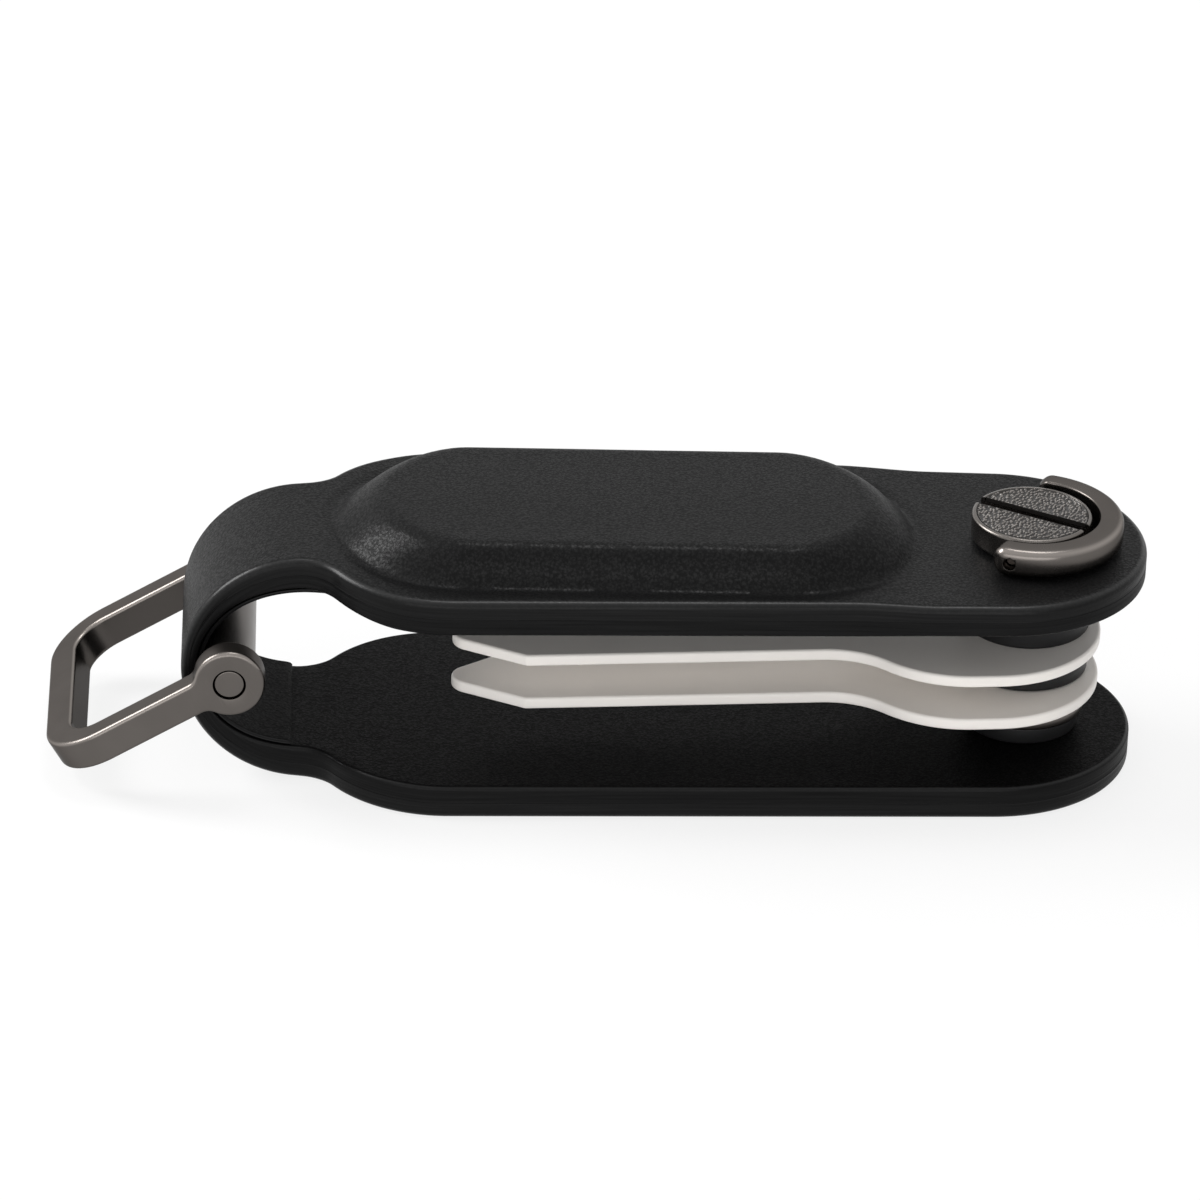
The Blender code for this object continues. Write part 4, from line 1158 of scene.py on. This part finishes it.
def pivot_bores(low, high):
    """Two bores along the lift ring's axis, from one radius to another."""
    bores = []
    for side in (0.0, pi):
        place = RING_PLACE @ (spin(side) @ spin(-pi / 2.0, "X"))
        bores.append(make_mesh("pivot_bore", *rod(RING_BORE_RADIUS, low, high, 32), place))
    return bores


class ORGANIZER_OT_coin_screw(bpy.types.Operator):
    """Build the coin screw: head, pebbled inlays, threaded shank, and the washer under the head"""
    bl_idname = "organizer.coin_screw"
    bl_label = "Coin Screw"

    def execute(self, context):
        settings = context.scene.organizer.metal
        steel = metal_finish("screw_steel", settings.bright_steel, 0.27)
        inlay = inlay_finish(settings.inlay)
        low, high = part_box("screw")
        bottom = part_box("head_washer")[1].z + STACK_GAP
        core = SHANK_RADIUS - settings.thread_depth
        floor = high.z - HEAD_INLAY_DEPTH - STACK_GAP
        recess = HEAD_RADIUS - HEAD_RIM
        profile = rounded([
            (0.0, low.z, 0.0), (core, low.z, SHANK_TIP_ROUND),
            (core, bottom, SHANK_ROOT_ROUND), (HEAD_RADIUS, bottom, HEAD_BOTTOM_ROUND),
            (HEAD_RADIUS, high.z, HEAD_TOP_ROUND), (recess, high.z, HEAD_RECESS_ROUND),
            (recess, floor, 0.0), (0.0, floor, 0.0)], 6)
        head = make_mesh("coin_screw", *turned(profile, 128))
        slot = prism(rectangle(HEAD_RADIUS + CUT_OVERRUN, SLOT_WIDTH / 2.0),
                     high.z - SLOT_DEPTH, high.z + CUT_OVERRUN)
        cut(head, make_mesh("slot", *slot, spin(SLOT_ANGLE)),
            *pivot_bores(HEAD_RADIUS - PIN_SOCKET, HEAD_RADIUS + CUT_OVERRUN))
        soften(head, HEAD_BEVEL)
        finish_piece(head, steel, "screw", "screw_steel", "screw")

        pebbles = pebble_tree(settings, inlay)
        for node, turn in (("inlay_back", 0.0), ("inlay_front", pi)):
            piece = inlay_mesh(node + "_pebbled", turn)
            pebbles.grow(piece)
            finish_piece(piece, inlay, "screw", "head_grain", node)

        turns = int((bottom - low.z - THREAD_SHORTFALL) / THREAD_PITCH)
        thread = make_mesh("screw_thread", [(0.0, 0.0, 0.0)], [])
        thread_tree(settings, low.z + THREAD_START, turns, steel).grow(thread)
        finish_piece(thread, steel, "screw", "screw_steel")
        build_washer("head_washer", bpy.data.materials["black_nylon"], "head_washer",
                     "black_nylon", HEAD_WASHER_BORE, HEAD_WASHER_RADIUS, HEAD_WASHER_EDGE)
        return {"FINISHED"}


# Lift ring

def ring_row(angle, beyond):
    """The lift ring's section at an angle, and how far it reaches into a ball end."""
    taper = sqrt(max(1.0 - min(beyond / RING_END_REACH, 1.0) ** 2, RING_LEAST_TAPER))
    half = RING_HALF_HEIGHT * taper
    full = mix(RING_END_THICKNESS, RING_BOW_THICKNESS, max(cos(angle), 0.0))
    thickness = full * taper
    inner = RING_INNER_RADIUS + RING_PLAY + (full - thickness) / 2.0
    outer = inner + thickness
    corner = min(RING_SHOULDER, thickness * RING_CORNER_SHARE)
    inside = min(RING_INNER_EDGE, thickness * mix(RING_CORNER_SHARE, RING_INNER_SHARE, taper))
    section = rounded([(outer, half, corner), (inner, half, inside), (inner, -half, inside),
                       (outer, -half, corner)], RING_CORNER_STEPS, closed=True)
    return [Vector((radius * cos(angle), radius * sin(angle), height))
            for radius, height in section]


def ring_rows():
    """Sections from one round end over the bow to the other."""
    middle = RING_INNER_RADIUS + RING_END_THICKNESS / 2.0
    ends = [RING_END_REACH * sin(pi / 2.0 * i / RING_END_STEPS)
            for i in range(1, RING_END_STEPS + 1)]
    start = -pi / 2.0 - RING_FRONT_RUN / middle
    rows = [ring_row(start - beyond / middle, beyond) for beyond in reversed(ends)]
    rows += [ring_row(mix(start, pi / 2.0, i / RING_STEPS), 0.0) for i in range(RING_STEPS + 1)]
    rows += [ring_row(pi / 2.0 + beyond / middle, beyond) for beyond in ends]
    return rows


class ORGANIZER_OT_lift_ring(bpy.types.Operator):
    """Build the C-shaped lift ring, and finish the two pins that it swings on"""
    bl_idname = "organizer.lift_ring"
    bl_label = "Lift Ring"

    def execute(self, context):
        settings = context.scene.organizer.metal
        metal = metal_finish("ring_metal", settings.gunmetal, 0.26, GRAZING_TINT)
        rows = ring_rows()
        # The middle of the outer upper corner carries a painted highlight line.
        upper_corner = [1.0 - abs(2.0 * i / RING_CORNER_STEPS - 1.0)
                        for i in range(RING_CORNER_STEPS + 1)]
        worn = (upper_corner + [0.0] * (len(rows[0]) - len(upper_corner))) * len(rows)
        ring = make_mesh("lift_ring_bail", *skin(rows), RING_PLACE, {"worn": worn})
        outer = RING_INNER_RADIUS + RING_END_THICKNESS
        cut(ring, *pivot_bores(RING_INNER_RADIUS - CUT_OVERRUN / 2.0, outer + CUT_OVERRUN))
        soften(ring, BORE_BEVEL)
        finish_piece(ring, metal, "lift_ring", "gunmetal", "lift_ring")
        for node in ("ring_pin_front", "ring_pin_back"):
            dress(node, metal)
        return {"FINISHED"}


# Shackle, pin and sleeve

UP = Vector((0.0, 0.0, 1.0))
ACROSS = Vector((0.0, 1.0, 0.0))


def eye_side(level):
    """Outline of an eye and its fillet, above or below the arm: (x, z, normal)."""
    sign = copysign(1.0, level)
    rise = abs(level) + EYE_FILLET
    run = sqrt((EYE_RADIUS + EYE_FILLET) ** 2 - rise ** 2)
    meet = atan2(rise, -run)
    side = []
    for i in range(EYE_STEPS + 1):
        a = mix(0.0, meet, i / EYE_STEPS)
        side.append((EYE_RADIUS * cos(a), sign * EYE_RADIUS * sin(a),
                     Vector((cos(a), 0.0, sign * sin(a)))))
    for i in range(1, EYE_FILLET_STEPS + 1):
        a = mix(meet - pi, -pi / 2.0, i / EYE_FILLET_STEPS)
        side.append((-run + EYE_FILLET * cos(a), sign * (rise + EYE_FILLET * sin(a)),
                     Vector((-cos(a), 0.0, -sign * sin(a)))))
    return side


def shackle_station(points, side, top, bottom):
    return tuple(zip(points, (side, -side, -side, side), (top, top, bottom, bottom)))


def shackle_stations():
    """Sharp corners and normals of the shackle's section, from one eye's tip round to the other.

    A station lists four corners (outer top, inner top, inner bottom, outer bottom), each as
    its point, the outward normal of its side and that of its top or bottom.
    """
    high = SHACKLE_BAR_LIFT + SHACKLE_BAR_HEIGHT / 2.0
    low = SHACKLE_BAR_LIFT - SHACKLE_BAR_HEIGHT / 2.0
    stations = []
    for (x_top, z_top, n_top), (x_low, z_low, n_low) in zip(eye_side(high), eye_side(low)):
        points = (Vector((x_top, SHACKLE_OUTER, z_top)), Vector((x_top, SHACKLE_INNER, z_top)),
                  Vector((x_low, SHACKLE_INNER, z_low)), Vector((x_low, SHACKLE_OUTER, z_low)))
        stations.append(shackle_station(points, ACROSS, n_top, n_low))

    far = -SHACKLE_REACH
    outer_centre = Vector((far + SHACKLE_OUTER_CORNER, SHACKLE_OUTER - SHACKLE_OUTER_CORNER, 0.0))
    inner_centre = Vector((far + SHACKLE_BAR_DEPTH + SHACKLE_INNER_CORNER,
                           SHACKLE_INNER - SHACKLE_INNER_CORNER, 0.0))
    for i in range(BEND_STEPS + 1):
        angle = mix(pi / 2.0, pi, i / BEND_STEPS)
        normal = Vector((cos(angle), sin(angle), 0.0))
        outer = outer_centre + SHACKLE_OUTER_CORNER * normal
        inner = inner_centre + SHACKLE_INNER_CORNER * normal
        points = (outer + high * UP, inner + high * UP, inner + low * UP, outer + low * UP)
        stations.append(shackle_station(points, normal, UP, -UP))
    return stations + [[[Vector((v.x, -v.y, v.z)) for v in corner] for corner in station]
                       for station in reversed(stations)]


def shackle_rows(edge_round, steps=6):
    """The shackle's sections, and which points lie on its upper edges, which carry a painted
    highlight, and on its inside faces, which carry a painted shade.
    """
    rows = []
    marks = {"worn": [], "inside": []}
    for station in shackle_stations():
        row = []
        for k, (point, side, cap) in enumerate(station):
            for i in range(steps + 1):
                part = i / steps if k % 2 == 0 else 1.0 - i / steps
                angle = pi / 2.0 * part
                row.append(point - side * edge_round * (1.0 - cos(angle))
                           - cap * edge_round * (1.0 - sin(angle)))
                # Upper edges get a painted highlight that peaks at the middle of the rounding.
                marks["worn"].append(1.0 - abs(2.0 * part - 1.0) if k < 2 else 0.0)
                # Inner faces get a painted shade.
                marks["inside"].append(1.0 - part if k in (1, 2) else 0.0)
        rows.append(row)
    return rows, marks


class ORGANIZER_OT_shackle(bpy.types.Operator):
    """Build the square shackle, the pin through its eyes and the sleeve in the strap's fold"""
    bl_idname = "organizer.shackle"
    bl_label = "Shackle"

    def execute(self, context):
        settings = context.scene.organizer.metal
        metal = metal_finish("shackle_metal", settings.gunmetal, 0.3, GRAZING_TINT)
        place = Matrix.Translation(PIN_PLACE) @ spin(SHACKLE_TILT, "Y")
        along = spin(pi / 2.0, "X")
        rows, marks = shackle_rows(settings.edge_round)
        loop = make_mesh("shackle_loop", *skin(rows), place, marks)
        end = SHACKLE_OUTER + CUT_OVERRUN
        cut(loop, make_mesh("pin_hole", *rod(PIN_RADIUS + PIN_HOLE_GAP, -end, end), place @ along))
        soften(loop, BORE_BEVEL)
        finish_piece(loop, metal, "shackle", "gunmetal", "shackle")

        low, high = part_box("pivot_pin")
        profile = rounded([(0.0, low.y, 0.0), (PIN_RADIUS, low.y, PIN_EDGE),
                           (PIN_RADIUS, high.y, PIN_EDGE), (0.0, high.y, 0.0)], 4)
        pin = make_mesh("pivot_pin_turned", *turned(profile, 64), place @ along)
        finish_piece(pin, metal, "shackle", "gunmetal", "pivot_pin")
        low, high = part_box("pivot_sleeve")
        radius = (high.x - low.x) / 2.0
        tube = washer(PIN_RADIUS + SLEEVE_GAP, radius, low.y, high.y, SLEEVE_EDGE, 64)
        sleeve = make_mesh("pivot_sleeve_turned", *tube, Matrix.Translation(PIN_PLACE) @ along)
        finish_piece(sleeve, bpy.data.materials["collar_metal"], "case", "gunmetal", "pivot_sleeve")
        return {"FINISHED"}


# Stage: floor, backdrop, lamps and camera

CAMERA_TARGET = Vector((-40.86 * MM, 0.0, 15.42 * MM))
FLOOR_SIZE = 4.0
FLOOR_DROP = 0.05 * MM
FLOOR_COLOUR = (0.93, 0.93, 0.93, 1.0)
WHITE = (1.0, 1.0, 1.0, 1.0)
SENSOR_WIDTH = 36.0
CLIP_START = 0.01
CLIP_END = 20.0
SOFTBOXES = (
    ("overhead_softbox", (0.02, 0.16, 0.85), (0.32, 0.24), "key_light"),
    ("left_softbox", (-0.70, 0.18, 0.50), (0.42, 0.42), "side_light"),
    ("front_softbox", (-0.15, -0.92, 0.22), (1.2, 0.45), "front_light"),
)


def shown_or_reflected(nodes):
    """1 for rays from the camera, and for reflected and transmitted ones."""
    path = nodes.node("ShaderNodeLightPath").outputs
    seen = nodes.number("MAXIMUM", path["Is Camera Ray"], path["Is Glossy Ray"])
    return nodes.number("MAXIMUM", seen, path["Is Transmission Ray"])


def plain_nodes(owner):
    """An empty tree of a world or a material."""
    owner.use_nodes = True
    owner.node_tree.nodes.clear()
    return Nodes(owner.node_tree)


def set_world(fill):
    """White wherever it is seen or reflected, and a plain fill light otherwise."""
    world = bpy.data.worlds.new("studio")
    bpy.context.scene.world = world
    nodes = plain_nodes(world)
    light = nodes.result("ShaderNodeBackground", {"Color": WHITE, "Strength": fill})
    white = nodes.result("ShaderNodeBackground", {"Color": WHITE})
    nodes.mix_shaders("ShaderNodeOutputWorld", shown_or_reflected(nodes), light, white)


def make_floor(lift):
    """A pale floor that keeps the shadow, partly lifted to plain white where it is seen."""
    corners = rectangle(FLOOR_SIZE / 2.0, FLOOR_SIZE / 2.0)
    floor = make_mesh("floor", [(x, y, -FLOOR_DROP) for x, y in corners], [(0, 1, 2, 3)])
    material = bpy.data.materials.new("floor_paint")
    nodes = plain_nodes(material)
    paint = nodes.result("ShaderNodeBsdfDiffuse", {"Color": FLOOR_COLOUR})
    glow = nodes.result("ShaderNodeEmission", {"Color": WHITE})
    nodes.mix_shaders("ShaderNodeOutputMaterial", shown_or_reflected(nodes) * lift, paint, glow)
    floor.data.materials.append(material)


def add_softbox(name, place, size, power):
    """A rectangular lamp that faces the object."""
    lamp = bpy.data.lights.new(name, "AREA")
    lamp.shape = "RECTANGLE"
    lamp.size, lamp.size_y = size
    lamp.energy = power
    obj = bpy.data.objects.new(name, lamp)
    bpy.context.scene.collection.objects.link(obj)
    aim = (CAMERA_TARGET - Vector(place)).to_track_quat("-Z", "Y").to_matrix().to_4x4()
    obj.matrix_world = Matrix.Translation(place) @ aim


class ORGANIZER_OT_stage(bpy.types.Operator):
    """Set up the floor, the backdrop, the lamps and the camera"""
    bl_idname = "organizer.stage"
    bl_label = "Stage"

    def execute(self, context):
        scene = context.scene
        settings = scene.organizer.stage
        scene.view_settings.view_transform = "Standard"
        set_world(settings.fill)
        make_floor(settings.floor_lift)
        for name, place, size, power in SOFTBOXES:
            add_softbox(name, place, size, getattr(settings, power))

        tilt = settings.elevation
        roll = settings.roll
        right = Vector((cos(settings.azimuth), -sin(settings.azimuth), 0.0))
        ahead = Vector((sin(settings.azimuth), cos(settings.azimuth), 0.0))
        forward = ahead * cos(tilt) - UP * sin(tilt)
        level_up = ahead * sin(tilt) + UP * cos(tilt)
        up = level_up * cos(roll) - right * sin(roll)
        side = right * cos(roll) + level_up * sin(roll)
        turn = Matrix((side, up, -forward)).transposed().to_4x4()
        camera = bpy.data.cameras.new("camera")
        camera.lens = settings.lens
        camera.sensor_width = SENSOR_WIDTH
        camera.clip_start = CLIP_START
        camera.clip_end = CLIP_END
        obj = bpy.data.objects.new("camera", camera)
        scene.collection.objects.link(obj)
        obj.matrix_world = Matrix.Translation(CAMERA_TARGET - forward * settings.distance) @ turn
        scene.camera = obj
        return {"FINISHED"}


class ORGANIZER_PT_pieces(bpy.types.Panel):
    """Lists the pieces of the organizer"""
    bl_idname = "ORGANIZER_PT_pieces"
    bl_label = "Key Organizer"
    bl_space_type = "VIEW_3D"
    bl_region_type = "UI"
    bl_category = "Organizer"

    def draw(self, context):
        settings = context.scene.organizer
        for operator in OPERATORS:
            self.layout.operator(operator.bl_idname)
        for group in (settings.strap, settings.metal, settings.plastic, settings.stage):
            box = self.layout.box()
            for name in group.bl_rna.properties.keys():
                if name not in ("rna_type", "name"):
                    box.prop(group, name)


OPERATORS = (
    ORGANIZER_OT_stage,
    ORGANIZER_OT_strap,
    ORGANIZER_OT_module,
    ORGANIZER_OT_stack,
    ORGANIZER_OT_keys,
    ORGANIZER_OT_coin_screw,
    ORGANIZER_OT_lift_ring,
    ORGANIZER_OT_shackle,
)
CLASSES = (StrapSettings, MetalSettings, PlasticSettings, StageSettings, OrganizerSettings,
           *OPERATORS, ORGANIZER_PT_pieces)


def register():
    for cls in CLASSES:
        bpy.utils.register_class(cls)
    bpy.types.Scene.organizer = PointerProperty(type=OrganizerSettings)


def unregister():
    del bpy.types.Scene.organizer
    for cls in reversed(CLASSES):
        bpy.utils.unregister_class(cls)


def main():
    register()
    for operator in OPERATORS:
        group, name = operator.bl_idname.split(".")
        getattr(getattr(bpy.ops, group), name)()


if __name__ == "__main__":
    main()
